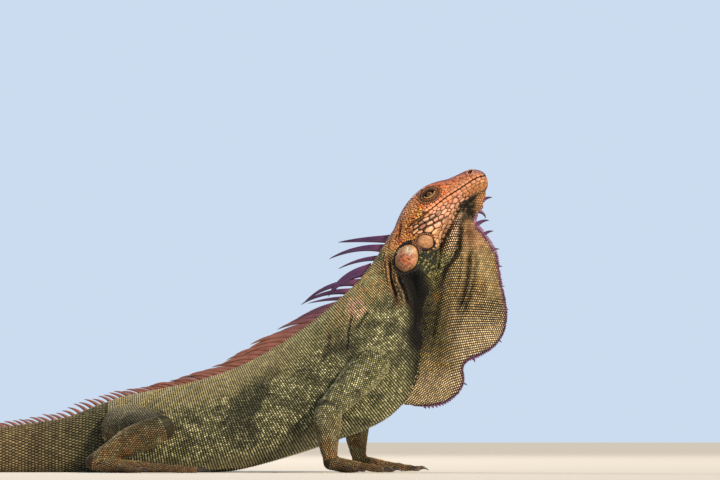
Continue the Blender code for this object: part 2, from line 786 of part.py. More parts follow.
def build_dewlap(cutters):
    last = len(DEWLAP_RAYS) - 1

    def make(shape):
        grid = {}
        for side in (-1, 1):
            for i in range(last + 1):
                root, edge = dewlap_ray(i)
                end = 0.55 if i in (0, last) else 1.0
                for k in range(DEWLAP_STEPS + 1):
                    share = k / DEWLAP_STEPS
                    point = root.lerp(edge, share)
                    point.y = side * dewlap_half_thickness(share) * end + dewlap_offset(i, share)
                    grid[side, i, k] = shape.verts.new(posed(point))
            for i in range(last):
                for k in range(DEWLAP_STEPS):
                    near, far = grid[side, i, k], grid[side, i + 1, k + 1]
                    shape.faces.new((near, grid[side, i + 1, k], far))
                    shape.faces.new((near, far, grid[side, i, k + 1]))
        rim = [(i, 0) for i in range(last)] + [(last, k) for k in range(DEWLAP_STEPS)]
        rim += [(i, DEWLAP_STEPS) for i in range(last, 0, -1)] + [(0, k) for k in range(DEWLAP_STEPS, 0, -1)]
        for here, there in zip(rim, rim[1:] + rim[:1]):
            corners = ((-1, here), (-1, there), (1, there), (1, here))
            shape.faces.new([grid[side, i, k] for side, (i, k) in corners])

    dewlap = new_object("dewlap", make)
    boolean(dewlap, [gular_spike(*row) for row in GULAR_SPIKES], "UNION", "MANIFOLD")
    boolean(dewlap, cutters, "DIFFERENCE", "MANIFOLD")
    dress(dewlap, "dewlap_skin")


def gular_spike(place, length, rise):
    """A small hooked spike on the dewlap's free edge."""
    _, edge = dewlap_ray(place)
    before, after = dewlap_ray(max(0, place - 0.3))[1], dewlap_ray(place + 0.3)[1]
    along = (before - after).normalized()
    inward = (dewlap_ray(place)[0] - edge).normalized()
    centre = edge + inward * SPIKE_ROOT + SIDE * dewlap_offset(place, 1.0)
    rings = []
    steps = 3
    for k in range(steps):
        share = k / steps
        angle = math.radians(rise + 28 * share)
        way = Vector((math.cos(angle), 0, math.sin(angle)))
        across = (along - way * along.dot(way)).normalized()
        half = (0.0011 + length * 0.00013) * (1 - share) ** 0.8
        thick = max(0.0004, 0.0010 * (1 - share * 0.6))
        rings.append(
            [
                posed(centre + across * half),
                posed(centre + SIDE * thick),
                posed(centre - across * half),
                posed(centre - SIDE * thick),
            ]
        )
        centre = centre + way * ((length * 0.001 + SPIKE_ROOT) / steps)
    return loft("spike", rings, tip=posed(centre))


# Limbs


def limb_rings(rows, sides, mirror, step):
    """Elliptical rings square to the path through the rows, half width sideways and half depth upwards."""
    centres = [mm(row[0], -row[1] if mirror else row[1], row[2]) + step for row in rows]
    rings = []
    for k, row in enumerate(rows):
        before, after = centres[max(0, k - 1)], centres[min(len(rows) - 1, k + 1)]
        way = (after - before).normalized()
        up = Vector((0, 0, 1)) if abs(way.z) < 0.8 else Vector((1, 0, 0.2))
        up = (up - way * up.dot(way)).normalized()
        across = way.cross(up)
        ring = []
        for i in range(sides):
            angle = 2 * math.pi * i / sides
            out = across * math.sin(angle) * row[3] + up * math.cos(angle) * row[4]
            ring.append(centres[k] + out * 0.001)
        rings.append(ring)
    return rings


def digit(row, mirror, step):
    """One clawed digit: an arched, tapering finger or toe that ends in a hooked claw on the floor."""
    x, y, heading, length, radius = row
    turn = math.radians(heading)
    way = Vector((math.cos(turn), -math.sin(turn), 0))
    if mirror:
        way.y = -way.y
    start = mm(x, -y if mirror else y, 0) + step
    claw = CLAW_LEAST + length * CLAW_SHARE
    toe = length - claw
    profile = [
        (-0.12, 5.0, 1.0),
        (0.14, 5.6, 1.06),
        (0.42, 4.6, 0.94),
        (0.72, 3.1, 0.90),
        (0.97, 2.5, 0.78),
    ]
    rings = []
    across = way.cross(Vector((0, 0, 1)))
    places = [(start + way * toe * share * 0.001, height, radius * size) for share, height, size in profile]
    places.append((start + way * (toe + claw * 0.30) * 0.001, 3.0, radius * 0.46))
    places.append((start + way * (toe + claw * 0.68) * 0.001, 2.3, radius * 0.32))
    for centre, height, size in places:
        ring = []
        for i in range(DIGIT_SIDES):
            angle = 2 * math.pi * (i + 0.5) / DIGIT_SIDES
            out = across * math.cos(angle) * size * 0.001
            rise = Vector((0, 0, 1)) * (height + math.sin(angle) * size * 1.02) * 0.001
            ring.append(centre + out + rise)
        rings.append(ring)
    return loft("digit", rings, tip=start + way * length * 0.001 + mm(0, 0, 0.5))


def floor_cutter():
    def make(shape):
        bmesh.ops.create_cube(shape, size=1)
        bmesh.ops.scale(shape, vec=(2.0, 2.0, 0.1), verts=shape.verts)
        bmesh.ops.translate(shape, vec=(0, 0, -0.05), verts=shape.verts)

    return new_object("floor", make)


def joint_of(rows, mirror, step):
    """Centre, direction and radius of the joint at the end of a length of limb."""
    ends = [mm(row[0], -row[1] if mirror else row[1], row[2]) + step for row in (rows[-2], rows[-1])]
    return ends[1], (ends[1] - ends[0]).normalized(), rows[-1][3] * 0.001


def joint_ball(centre, radius):
    def make(shape):
        bmesh.ops.create_icosphere(shape, subdivisions=2, radius=radius)
        bmesh.ops.translate(shape, vec=centre, verts=shape.verts)

    return new_object("ball", make)


def half_space(centre, normal):
    """A block that fills everything near the limb beyond the plane, on the side the normal points to."""
    size = 0.16

    def make(shape):
        bmesh.ops.create_cube(shape, size=size)
        turn = normal.to_track_quat("Z", "Y").to_matrix()
        for vertex in shape.verts:
            vertex.co = centre + turn @ (vertex.co + Vector((0, 0, size / 2)))

    return new_object("half_space", make)


def build_limb(side_name, mirror, fore):
    """Upper limb, lower limb and foot. Each joint is a ball, parted by the plane that halves its bend."""
    step = (LEFT_FORE_STEP if fore else LEFT_HIND_STEP) if mirror else Vector()
    tables = (UPPER_ARM, FOREARM, PALM) if fore else (THIGH, SHIN, SOLE)
    names = ("upper_arm", "forearm", "hand") if fore else ("thigh", "shin", "foot")
    shapes = [limb_rings(rows, LIMB_SIDES, mirror, step) for rows in tables]
    lengths = [loft(f"{name}_{side_name}", rings) for name, rings in zip(names, shapes)]
    digits = [digit(row, mirror, step) for row in (FINGERS if fore else TOES)]
    extras = [[], [], digits]
    cuts = [[body_cutter()], [body_cutter()], [floor_cutter()]]
    for k in (0, 1):
        centre, inward, radius = joint_of(tables[k], mirror, step)
        outward = joint_of(tables[k + 1][:2], mirror, step)[1]
        normal = (inward + outward).normalized()
        extras[k].append(joint_ball(centre, radius * 1.04))
        extras[k + 1].append(joint_ball(centre, radius * 1.04))
        cuts[k].append(half_space(centre - normal * GAP / 2, normal))
        cuts[k + 1].append(half_space(centre + normal * GAP / 2, -normal))
    for item, joined, removed in zip(lengths, extras, cuts):
        boolean(item, joined, "UNION")
        for cutter in removed:
            boolean(item, [cutter], "DIFFERENCE")
        dress(item, "limb_skin")


# Whole animal


def build_axial_nodes():
    neck = axial_loft("neck", NECK_PLACES, AXIAL_SIDES)
    boolean(neck, crest_between(HEAD_END, NECK_END), "UNION")
    dress(neck, "neck_skin")
    torso = axial_loft("torso", TORSO_PLACES, AXIAL_SIDES)
    boolean(torso, crest_between(NECK_END, TORSO_END), "UNION")
    dress(torso, "trunk_skin")
    for number, places in enumerate(TAIL_PLACES, 1):
        sides = AXIAL_SIDES if number == 1 else TAIL_SIDES
        piece = axial_loft(f"tail_{number}", places, sides)
        spines = crest_between(places[0], places[-1])
        if spines:
            boolean(piece, spines, "UNION")
        dress(piece, "tail_skin")


def centre_over_origin():
    """Moves the finished animal so that the middle of its box stands over the origin."""
    solids = list(bpy.context.scene.collection.objects)
    points = [vertex.co for item in solids for vertex in item.data.vertices]
    middle_x = (min(p.x for p in points) + max(p.x for p in points)) / 2
    middle_y = (min(p.y for p in points) + max(p.y for p in points)) / 2
    for item in solids:
        item.data.transform(Matrix.Translation((-middle_x, -middle_y, 0)))


def main():
    for item in list(bpy.data.objects):
        bpy.data.objects.remove(item)
    build_axial_nodes()
    build_head()
    build_eyes()
    head_cutter = head_loft("head_cutter", CUT_GROWTH)
    move_points(head_cutter, posed)
    build_dewlap([head_cutter, body_cutter()])
    for side_name, mirror in (("right", False), ("left", True)):
        build_limb(side_name, mirror, True)
        build_limb(side_name, mirror, False)
    centre_over_origin()


main()
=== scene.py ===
import math
import time

import bmesh
import bpy
import numpy as np
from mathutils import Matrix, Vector, noise
from mathutils.bvhtree import BVHTree
from mathutils.kdtree import KDTree
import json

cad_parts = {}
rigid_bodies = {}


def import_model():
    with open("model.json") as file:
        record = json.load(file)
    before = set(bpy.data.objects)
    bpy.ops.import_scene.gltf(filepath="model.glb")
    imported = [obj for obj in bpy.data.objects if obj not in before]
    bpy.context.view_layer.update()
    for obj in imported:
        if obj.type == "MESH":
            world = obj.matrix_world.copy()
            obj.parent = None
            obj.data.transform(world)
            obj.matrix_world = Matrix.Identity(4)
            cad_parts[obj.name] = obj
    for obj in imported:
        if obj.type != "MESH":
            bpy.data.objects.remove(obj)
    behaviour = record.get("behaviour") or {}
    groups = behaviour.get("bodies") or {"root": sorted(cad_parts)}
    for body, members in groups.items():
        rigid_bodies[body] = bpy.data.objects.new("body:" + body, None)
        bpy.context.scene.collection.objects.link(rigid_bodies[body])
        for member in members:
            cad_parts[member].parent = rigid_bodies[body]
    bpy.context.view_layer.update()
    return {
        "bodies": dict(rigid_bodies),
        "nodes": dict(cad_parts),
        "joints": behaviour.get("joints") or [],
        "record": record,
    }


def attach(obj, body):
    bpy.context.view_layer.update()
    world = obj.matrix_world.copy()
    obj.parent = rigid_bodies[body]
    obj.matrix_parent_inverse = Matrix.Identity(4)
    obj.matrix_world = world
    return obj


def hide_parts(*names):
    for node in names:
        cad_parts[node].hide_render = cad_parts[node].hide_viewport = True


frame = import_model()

# Adult male green iguana, life size. Metres, snout towards +X, the animal's left towards +Y, floor at z = 0.
startTime = time.time()
rng = np.random.default_rng(11)
fleshNodes = [name for name in frame["nodes"] if not name.startswith("eye_")]
bodyShift = 0.37215  # the CAD stands the middle of its box over the origin


def report(stage):
    print(f"{stage}: {time.time() - startTime:.1f} s")


def linked(name, data, place=None):
    # puts an object in the scene; one with a place stands there and is turned to the camera's aim
    item = bpy.data.objects.new(name, data)
    bpy.context.scene.collection.objects.link(item)
    if place is not None:
        item.location = place
        item.rotation_euler = (Vector(photo["aim"]) - Vector(place)).to_track_quat("-Z", "Y").to_euler()
    return item


# Camera
photo = {
    "width": 720,  # pixels
    "metresPerPixel": 0.00085,  # measured from snout to eardrum
    "aim": (0.4742, 0.0, 0.1972),  # what stands in the middle of the frame
    "distance": 4.5,  # far off, as with the photograph's long lens
    "height": 0.028,  # low, because the photograph looks up, but above the floor
    "sensor": 36.0,
}
viewPoint = np.array((photo["aim"][0], -photo["distance"], photo["height"]))


def makeCamera():
    lens = bpy.data.cameras.new("camera")
    lens.sensor_width = photo["sensor"]
    away = (Vector(photo["aim"]) - Vector(viewPoint)).length
    lens.lens = photo["sensor"] * away / (photo["width"] * photo["metresPerPixel"])
    lens.clip_start = 0.05
    bpy.context.scene.camera = linked("camera", lens, viewPoint)


makeCamera()


# Numbers and vectors
def smoothStep(value):
    value = np.clip(value, 0, 1)
    return value * value * (3 - 2 * value)


def rising(value, start, width):
    # 0 below start, and 1 from a width above it
    return smoothStep((value - start) / width)


def falling(value, start, width):
    # 0 above start, and 1 from a width below it
    return smoothStep((start - value) / width)


def circle(count):
    # angles evenly round a circle
    return np.arange(count) * 2 * math.pi / count


def walkedAlong(points):
    return np.concatenate(([0], np.cumsum(np.linalg.norm(np.diff(points, axis=0), axis=1))))


def treeOf(*groups):
    tree = KDTree(sum(len(rows) for rows in groups))
    for k, row in enumerate(row for rows in groups for row in rows.tolist()):
        tree.insert(row, k)
    tree.balance()
    return tree


def unit(vectors):
    return vectors / np.maximum(np.linalg.norm(vectors, axis=-1, keepdims=True), 1e-12)


def linear(code):
    # sRGB hex to linear colour
    channels = np.array([int(code[k:k + 2], 16) for k in (1, 3, 5)]) / 255
    return np.where(channels <= 0.04045, channels / 12.92, ((channels + 0.055) / 1.055) ** 2.4)


# The body's shape, with the CAD's own sizes. Millimetres in the tables.
headPose = {
    "pitch": math.radians(31),
    "roll": math.radians(-8),
    "origin": (161.5, 225.3),  # x and z
    "rollHeights": (0.110, 0.190),  # metres over the floor between which the roll fades in
}
pitchForward = np.array((math.cos(headPose["pitch"]), 0, math.sin(headPose["pitch"])))
pitchUp = np.array((-math.sin(headPose["pitch"]), 0, math.cos(headPose["pitch"])))
sideways = np.array((0.0, 1.0, 0.0))
headBase = np.array((headPose["origin"][0], 0, headPose["origin"][1])) * 0.001

# dorsal forward and up, ventral forward and up, half width, squareness, fullness of the lower half
headSections = [
    (54.6, -1.0, 53.0, -7.5, 4.6, 2.1, 0.00),
    (53.8, 2.6, 50.8, -11.0, 8.6, 2.3, 0.02),
    (51.2, 6.0, 47.0, -13.0, 11.4, 2.4, 0.04),
    (47.0, 9.0, 42.0, -13.8, 13.4, 2.5, 0.08),
    (41.0, 10.7, 35.0, -14.0, 15.0, 2.6, 0.10),
    (33.0, 11.4, 27.0, -14.8, 16.6, 2.6, 0.12),
    (24.5, 12.6, 18.5, -16.4, 18.4, 2.6, 0.14),
    (16.5, 15.2, 11.0, -18.8, 20.4, 2.6, 0.15),
    (8.5, 16.8, 4.5, -21.8, 22.2, 2.6, 0.16),
    (0.5, 16.6, -1.0, -25.0, 24.0, 2.5, 0.18),
    (-7.5, 15.2, -5.5, -28.5, 25.6, 2.4, 0.20),
    (-15.5, 12.6, -9.0, -31.8, 26.8, 2.3, 0.22),
    (-23.0, 8.8, -11.0, -34.6, 27.4, 2.3, 0.22),
    (-30.0, 4.2, -12.0, -37.0, 27.4, 2.2, 0.20),
    (-36.5, -0.8, -14.5, -41.0, 27.2, 2.2, 0.16),
    (-43.5, -4.0, -21.5, -48.5, 27.0, 2.2, 0.12),
    (-50.6, -8.3, -30.4, -57.1, 26.2, 2.1, 0.08),
]
# dorsal x and z, ventral x and z, half width, squareness, fullness
trunkSections = [
    (117.6, 184.5, 163.0, 147.5, 25.0, 2.1, 0.04),
    (109.5, 173.0, 159.8, 129.2, 25.6, 2.1, 0.02),
    (97.8, 159.0, 155.6, 96.9, 30.0, 2.1, 0.00),
    (80.8, 143.7, 145.9, 68.0, 36.5, 2.1, 0.04),
    (57.8, 125.0, 123.3, 44.2, 41.5, 2.1, 0.08),
    (29.8, 106.3, 85.0, 27.8, 44.5, 2.1, 0.14),
    (0.0, 90.1, 38.3, 12.0, 47.0, 2.1, 0.20),
    (-34.0, 78.4, -8.5, 0.5, 47.5, 2.1, 0.24),
    (-68.0, 70.7, -52.7, -2.5, 43.0, 2.2, 0.22),
    (-97.8, 64.6, -93.5, -2.5, 33.5, 2.2, 0.14),
    (-123.3, 56.0, -123.3, -2.0, 24.0, 2.1, 0.06),
    (-148.0, 46.5, -148.0, -1.5, 19.5, 2.0, 0.02),
]
tail = {
    "length": 880.0,
    "startX": -148.0,
    "swing": math.radians(30),
    "wave": 740.0,
    "stations": 24,
    # share of the length, half height, half width
    "taper": np.array([
        (0.00, 23.4, 19.5), (0.08, 19.0, 15.6), (0.20, 14.2, 11.2), (0.35, 10.2, 8.0),
        (0.50, 7.4, 6.0), (0.70, 4.7, 4.0), (0.88, 2.7, 2.4), (1.00, 1.1, 1.1),
    ]),
}


def headPoint(forward, outward, up):
    spans = (np.multiply.outer(forward, pitchForward), np.multiply.outer(outward, sideways),
             np.multiply.outer(up, pitchUp))
    return headBase + sum(spans) * 0.001


def turnedAbout(vectors, axis, angles):
    angles = np.asarray(angles)[..., None]
    along = (vectors @ axis)[..., None] * axis
    return vectors * np.cos(angles) + np.cross(axis, vectors) * np.sin(angles) + along * (1 - np.cos(angles))


def rolled(points, way=1):
    # turned about the head's length by a few degrees, fading out down the neck; way -1 turns back
    low, high = headPose["rollHeights"]
    share = smoothStep((points[..., 2] - low) / (high - low))
    return headBase + turnedAbout(points - headBase, pitchForward, way * headPose["roll"] * share)


def posed(points):
    # in the photograph's pose, at the CAD's own origin
    return rolled(points) + (bodyShift, 0, 0)


def headLocal(points):
    # forward, outward and up in the unrolled head, in millimetres
    spans = turnedAbout(points - headBase - (bodyShift, 0, 0), pitchForward,
                        np.full(len(points), -headPose["roll"]))
    return np.stack((spans @ pitchForward, spans[:, 1], spans @ pitchUp), axis=1) * 1000


def nearSide(points):
    # the far side's points at their mirror places on the near side
    flat = rolled(points - (bodyShift, 0, 0), -1)
    return np.where(points[:, 1:2] > 0, posed(flat * (1, -1, 1)), points)


def inPlane(points):
    # where the camera sees these points on the middle plane: x and z in millimetres, before the shift
    points = nearSide(points)
    share = viewPoint[1] / (viewPoint[1] - points[:, 1])
    flat = viewPoint[[0, 2]] + (points[:, [0, 2]] - viewPoint[[0, 2]]) * share[:, None]
    return (flat - (bodyShift, 0)) * 1000


def alongPath(plane, path):
    # how far each point lies from a path in the plane, and the share of the path's length where it is nearest
    path = np.array(path, float)
    walked = walkedAlong(path)
    best, where = np.full(len(plane), np.inf), np.zeros(len(plane))
    for k, span in enumerate(np.linalg.norm(np.diff(path, axis=0), axis=1)):
        way = (path[k + 1] - path[k]) / span
        along = np.clip((plane - path[k]) @ way, 0, span)
        gap = np.linalg.norm(plane - path[k] - along[:, None] * way, axis=1)
        nearer = gap < best
        best[nearer], where[nearer] = gap[nearer], walked[k] + along[nearer]
    return best, where / walked[-1]


def drift(places, sizes, seed=0):
    # a smooth random field from 0 to 1, in patches of about these millimetres
    places = places / np.array(sizes, float) + seed * 7.3
    return np.clip(0.5 + 0.75 * np.array([noise.noise(row) for row in places.tolist()]), 0, 1)


def bodyFamily():
    rows = []
    sections = enumerate(headSections + trunkSections)
    for k, (dorsalX, dorsalZ, ventralX, ventralZ, wide, square, full) in sections:
        ends = np.array((dorsalX, 0, dorsalZ, ventralX, 0, ventralZ)) * 0.001
        if k < len(headSections):
            ends = (*headPoint(dorsalX, 0, dorsalZ), *headPoint(ventralX, 0, ventralZ))
        rows.append((*ends, 0, 1, 0, wide * 0.001, square, full))
    x, y, walked = tail["startX"], 0.0, 0.0
    count = tail["stations"] * 10
    for i in range(count + 1):
        swing = tail["swing"] * float(smoothStep(walked / 120))
        heading = math.pi + swing * math.sin(2 * math.pi * walked / tail["wave"])
        if i % 10 == 0 and i > 0:
            share = walked / tail["length"]
            tall, wide = (np.interp(share, tail["taper"][:, 0], tail["taper"][:, k]) for k in (1, 2))
            ends = np.array((x, y, tall * 1.93, x, y, -tall * 0.07)) * 0.001
            rows.append((*ends, math.sin(heading), -math.cos(heading), 0, wide * 0.001, 2.0, 0.02))
        x += math.cos(heading) * tail["length"] / count
        y += math.sin(heading) * tail["length"] / count
        walked += tail["length"] / count
    return np.array(rows)


family = bodyFamily()
headEnd = float(len(headSections))  # places along the body count its rows
torsoEnd = headEnd + 9.6
tailEnd = len(family) - 1.0


def rowsAt(table, places):
    # rows between the table's rows, on a smooth curve
    places = np.asarray(places, float)
    last = len(table) - 1
    index = np.clip(places.astype(int), 0, last - 1)
    t = (places - index)[:, None]
    before, start, end, after = (table[np.clip(index + k, 0, last)] for k in (-1, 0, 1, 2))
    pull, push = (end - before) / 2, (after - start) / 2
    return (start * (2 * t**3 - 3 * t**2 + 1) + pull * (t**3 - 2 * t**2 + t)
            + end * (3 * t**2 - 2 * t**3) + push * (t**3 - t**2))


coatDepth = 0.0004  # how far the skin lies inside the solids, to leave room for the scales


def bodyPoint(places, angles, grow=-coatDepth):
    # angle 0 is the back, and a quarter turn is the animal's left flank
    rows = rowsAt(family, places)
    centre, half = (rows[:, :3] + rows[:, 3:6]) / 2, (rows[:, :3] - rows[:, 3:6]) / 2
    half = half * (1 + grow / np.linalg.norm(half, axis=1, keepdims=True))
    across, along, power = np.sin(angles), np.cos(angles), 2 / rows[:, 10]
    out = np.copysign(np.abs(across) ** power, across) * (1 - rows[:, 11] * along) * (rows[:, 9] + grow)
    rise = np.copysign(np.abs(along) ** power, along)
    points = centre + half * rise[:, None] + unit(rows[:, 6:9]) * out[:, None]
    points[:, 2] = np.maximum(points[:, 2], -grow)
    return posed(points)


# Limbs: x, y, z, half width, half depth. The right ones, and the left are their mirror a step further on.
limbTables = {
    "fore": [
        (118, -10, 101, 8, 8), (114, -22, 96, 15, 14.5), (108, -36, 88, 16.5, 15.5), (96, -50, 74, 15, 14),
        (85, -59.5, 62, 12.4, 12), (76, -66, 52.5, 10.6, 10.6), (74.8, -70, 42, 12.4, 11.8),
        (75.2, -74, 29, 10.4, 9.6), (76.6, -78, 16, 7.8, 7.0), (78, -80, 9, 6.6, 6.0),
        (86, -81.5, 6.6, 9.2, 6.2), (95, -83.5, 5.4, 10.6, 5.4), (102.5, -85, 4.7, 7.8, 3.9),
    ],
    "hind": [
        (-104, -12, 36, 9, 10), (-100, -22, 37, 17, 19), (-92, -38, 38, 18, 20), (-80, -60, 38.5, 15.8, 17),
        (-69, -79, 38, 12.4, 13), (-63, -88, 37, 10.6, 10.8), (-74, -91.5, 32.5, 11.8, 12.2),
        (-89, -94.5, 26, 11.6, 12.0), (-104, -97, 18, 8.6, 8.8), (-119, -99, 9, 6.6, 6.6),
        (-108, -101, 6.4, 8.6, 6.2), (-94, -104.5, 5.6, 9.8, 5.6), (-84, -107, 5.2, 9.4, 5.2),
        (-77.5, -108.5, 4.6, 6.5, 3.8),
    ],
}
limbJoints = {"fore": (5, 9), "hind": (5, 9)}  # rows at elbow and wrist, knee and ankle
# start x and y, heading outwards in degrees, length with the claw, base radius
digitTables = {
    "fore": [(94, -76, -38, 22, 3.1), (99, -80, -14, 31, 3.3), (100, -85, 6, 38, 3.4), (97, -90, 27, 37, 3.3),
             (90, -91, 58, 27, 3.0)],
    "hind": [(-84, -101, -30, 24, 3.2), (-81, -104, -8, 37, 3.5), (-80, -108, 8, 53, 3.7),
             (-83, -112, 20, 66, 3.8), (-100, -109, 48, 42, 3.3)],
}
leftStep = {"fore": 24.0, "hind": -12.0}
# share of the toe, height, radius as a share of its base radius
toeProfile = [(-0.12, 5.0, 1.0), (0.08, 5.7, 1.1), (0.24, 4.9, 0.94), (0.42, 4.7, 0.98), (0.58, 3.6, 0.86),
              (0.72, 3.3, 0.92), (0.86, 2.7, 0.78), (0.97, 2.6, 0.80), (1.03, 2.6, 0.42)]
clawRule = (4.5, 0.11)  # a claw's length: this plus this share of its digit


def onSide(points, kind, side):
    # the right limb's millimetres to the right or left limb's metres
    moved = np.array(points, float)
    if side > 0:
        moved[..., 1] *= -1
        moved[..., 0] += leftStep[kind]
    return moved * 0.001 + (bodyShift, 0, 0)


def limbFamily(kind, side, first, last):
    # one length of the limb: centre, across, up, half width, half depth
    table = np.array(limbTables[kind][first:last + 1], float)
    centres = onSide(table[:, :3], kind, side)
    ways = unit(np.gradient(centres, axis=0))
    upright = np.where(np.abs(ways[:, 2:]) < 0.8, (0, 0, 1.0), (1.0, 0, 0.2))
    ups = unit(upright - ways * np.sum(ways * upright, axis=1, keepdims=True))
    return np.hstack((centres, np.cross(ways, ups), ups, table[:, 3:5] * 0.001))


def ringPoint(table, places, angles, grow=-coatDepth):
    rows = rowsAt(table, places)
    out = rows[:, 3:6] * (np.sin(angles) * (rows[:, 9] + grow))[:, None]
    rise = rows[:, 6:9] * (np.cos(angles) * (rows[:, 10] + grow))[:, None]
    points = rows[:, :3] + out + rise
    points[:, 2] = np.maximum(points[:, 2], -grow)
    return points


def digitFamily(kind, side, row):
    x, y, heading, length, radius = row
    way = np.array((math.cos(math.radians(heading)), -math.sin(math.radians(heading)), 0))
    claw = clawRule[0] + clawRule[1] * length
    toe = length - claw
    across = np.cross(way, (0, 0, 1.0))
    if side > 0:
        across[1] *= -1
    rows = []
    for share, height, size in toeProfile:
        centre = onSide((x + way[0] * toe * share, y + way[1] * toe * share, height), kind, side)
        rows.append((*centre, *across, 0, 0, 1, radius * size * 0.001, radius * size * 0.00102))
    return np.array(rows), way, toe, claw


def limbParts():
    # every length and digit of the limbs: its name, surface, last row and table
    for kind, side in ((kind, side) for kind in ("fore", "hind") for side in (-1, 1)):
        joints = (0, *limbJoints[kind], len(limbTables[kind]) - 1)
        for first, last in zip(joints, joints[1:]):
            table = limbFamily(kind, side, first, last)
            yield (f"limb_{kind}_{side}_{first}", lambda p, a, table=table: ringPoint(table, p, a),
                   last - first, table)
        for order, row in enumerate(digitTables[kind]):
            table = digitFamily(kind, side, row)[0]
            yield (f"digit_{kind}_{side}_{order}", lambda p, a, table=table: ringPoint(table, p, a, -0.0003),
                   len(table) - 1, table)


# Dewlap: root x and z, free edge x and z
dewlapRays = np.array([
    (206.5, 243.0, 209.5, 237.5), (203.0, 239.5, 207.0, 228.0), (197.0, 236.5, 203.5, 221.5),
    (191.0, 232.5, 200.0, 215.5), (185.5, 228.5, 200.5, 210.0), (179.5, 223.5, 207.0, 202.5),
    (175.0, 217.5, 214.0, 193.0), (171.0, 209.0, 218.8, 183.5), (167.5, 199.0, 221.0, 170.0),
    (164.0, 187.0, 223.2, 156.5), (160.5, 173.5, 226.0, 143.0), (158.0, 159.0, 226.8, 130.0),
    (155.5, 144.5, 223.5, 116.5), (153.8, 131.0, 216.0, 106.3), (151.5, 115.5, 205.0, 99.5),
    (149.0, 102.0, 193.8, 94.8), (146.5, 90.0, 189.8, 88.0), (143.5, 80.0, 190.8, 78.2),
    (139.5, 71.5, 186.0, 67.5), (133.0, 65.0, 173.0, 58.0), (126.5, 60.0, 152.0, 55.0),
])
dewlap = {"rootThick": 15.0, "edgeThick": 2.2, "fold": 0.0019, "sway": 0.0035}


def dewlapOffset(place, share):
    along = rising(place, 4, 4) * falling(place, 17, 5)
    across = smoothStep(share / 0.15) * falling(share, 0.8, 0.3)
    fold = dewlap["fold"] * along * across * np.sin(2 * math.pi * share * 2.6 + place * 0.12)
    return fold + dewlap["sway"] * share**2 * np.sin(place * 0.36)


def dewlapPoint(place, share, side):
    rows = rowsAt(dewlapRays, place) * 0.001
    thick = dewlap["edgeThick"] + (dewlap["rootThick"] - dewlap["edgeThick"]) * (1 - share) ** 3.4
    end = np.clip(np.minimum(place, len(dewlapRays) - 1 - place) + 0.55, 0, 1)
    x, z = (rows[:, k] + (rows[:, k + 2] - rows[:, k]) * share for k in (0, 1))
    points = np.stack((x, side * thick * 0.0005 * end + dewlapOffset(place, share), z), axis=1)
    return posed(points)


# Meshes from arrays
def makeMesh(name, points, triangles):
    mesh = bpy.data.meshes.new(name)
    mesh.vertices.add(len(points))
    mesh.vertices.foreach_set("co", np.asarray(points, np.float32).ravel())
    mesh.loops.add(triangles.size)
    mesh.loops.foreach_set("vertex_index", triangles.astype(np.int32).ravel())
    mesh.polygons.add(len(triangles))
    mesh.polygons.foreach_set("loop_start", np.arange(0, triangles.size, 3, dtype=np.int32))
    mesh.update(calc_edges=True)
    mesh.shade_smooth()
    return linked(name, mesh)


def arraysOf(mesh):
    mesh.calc_loop_triangles()
    points = np.empty(len(mesh.vertices) * 3, np.float32)
    mesh.vertices.foreach_get("co", points)
    triangles = np.empty(len(mesh.loop_triangles) * 3, np.int32)
    mesh.loop_triangles.foreach_get("vertices", triangles)
    normals = np.empty(len(mesh.vertices) * 3, np.float32)
    mesh.vertices.foreach_get("normal", normals)
    return points.reshape(-1, 3).astype(float), triangles.reshape(-1, 3), normals.reshape(-1, 3).astype(float)


def gridTriangles(rows, columns):
    # a tube of rows, each a closed ring
    i, j = np.meshgrid(np.arange(rows - 1), np.arange(columns), indexing="ij")
    a, b = (i * columns + j).ravel(), (i * columns + (j + 1) % columns).ravel()
    c, d = a + columns, b + columns
    return np.concatenate((np.stack((a, b, d), 1), np.stack((a, d, c), 1)))


def tube(rings, tip=None):
    # closed body through rings of points: flat caps, or a point at the end
    count, columns = rings.shape[:2]
    points = [rings.reshape(-1, 3), rings[0].mean(0)[None], (rings[-1].mean(0) if tip is None else tip)[None]]
    ring, after = np.arange(columns), (np.arange(columns) + 1) % columns
    root = count * columns
    start = np.stack((np.full(columns, root), after, ring), 1)
    end = np.stack((np.full(columns, root + 1), root - columns + ring, root - columns + after), 1)
    return np.concatenate(points), np.concatenate((gridTriangles(count, columns), start, end))


def domeTriangles(levels, columns):
    # a stack of rings closed by a flat underside and by one point on top
    ring, last = np.arange(columns), (levels - 1) * columns
    top = np.stack((last + ring, last + (ring + 1) % columns, np.full(columns, levels * columns)), 1)
    inner = ring[1:-1]
    under = np.stack((np.zeros(columns - 2, int), inner + 1, inner), 1)
    return np.concatenate((gridTriangles(levels, columns), top, under))


def copies(triangles, count, each):
    # the triangles again for each of a row of equal groups of points
    return (triangles[None] + (np.arange(count) * each)[:, None, None]).reshape(-1, 3)


def shareAlong(rings):
    # how far along a tube each of its points lies, from 0 at the root to 1 at the tip
    return np.concatenate((np.repeat(np.linspace(0, 1, len(rings)), rings.shape[1]), (0, 1)))


def joined(parts):
    points, triangles, start = [], [], 0
    for somePoints, someTriangles in parts:
        points.append(somePoints)
        triangles.append(someTriangles + start)
        start += len(somePoints)
    return np.concatenate(points), np.concatenate(triangles)


def surfaceTube(surface, start, end, step, columns):
    # samples a surface of place and angle into a tube
    count = max(2, int(round((end - start) / step)) + 1)
    places, angles = np.repeat(np.linspace(start, end, count), columns), np.tile(circle(columns), count)
    return tube(surface(places, angles).reshape(count, columns, 3))


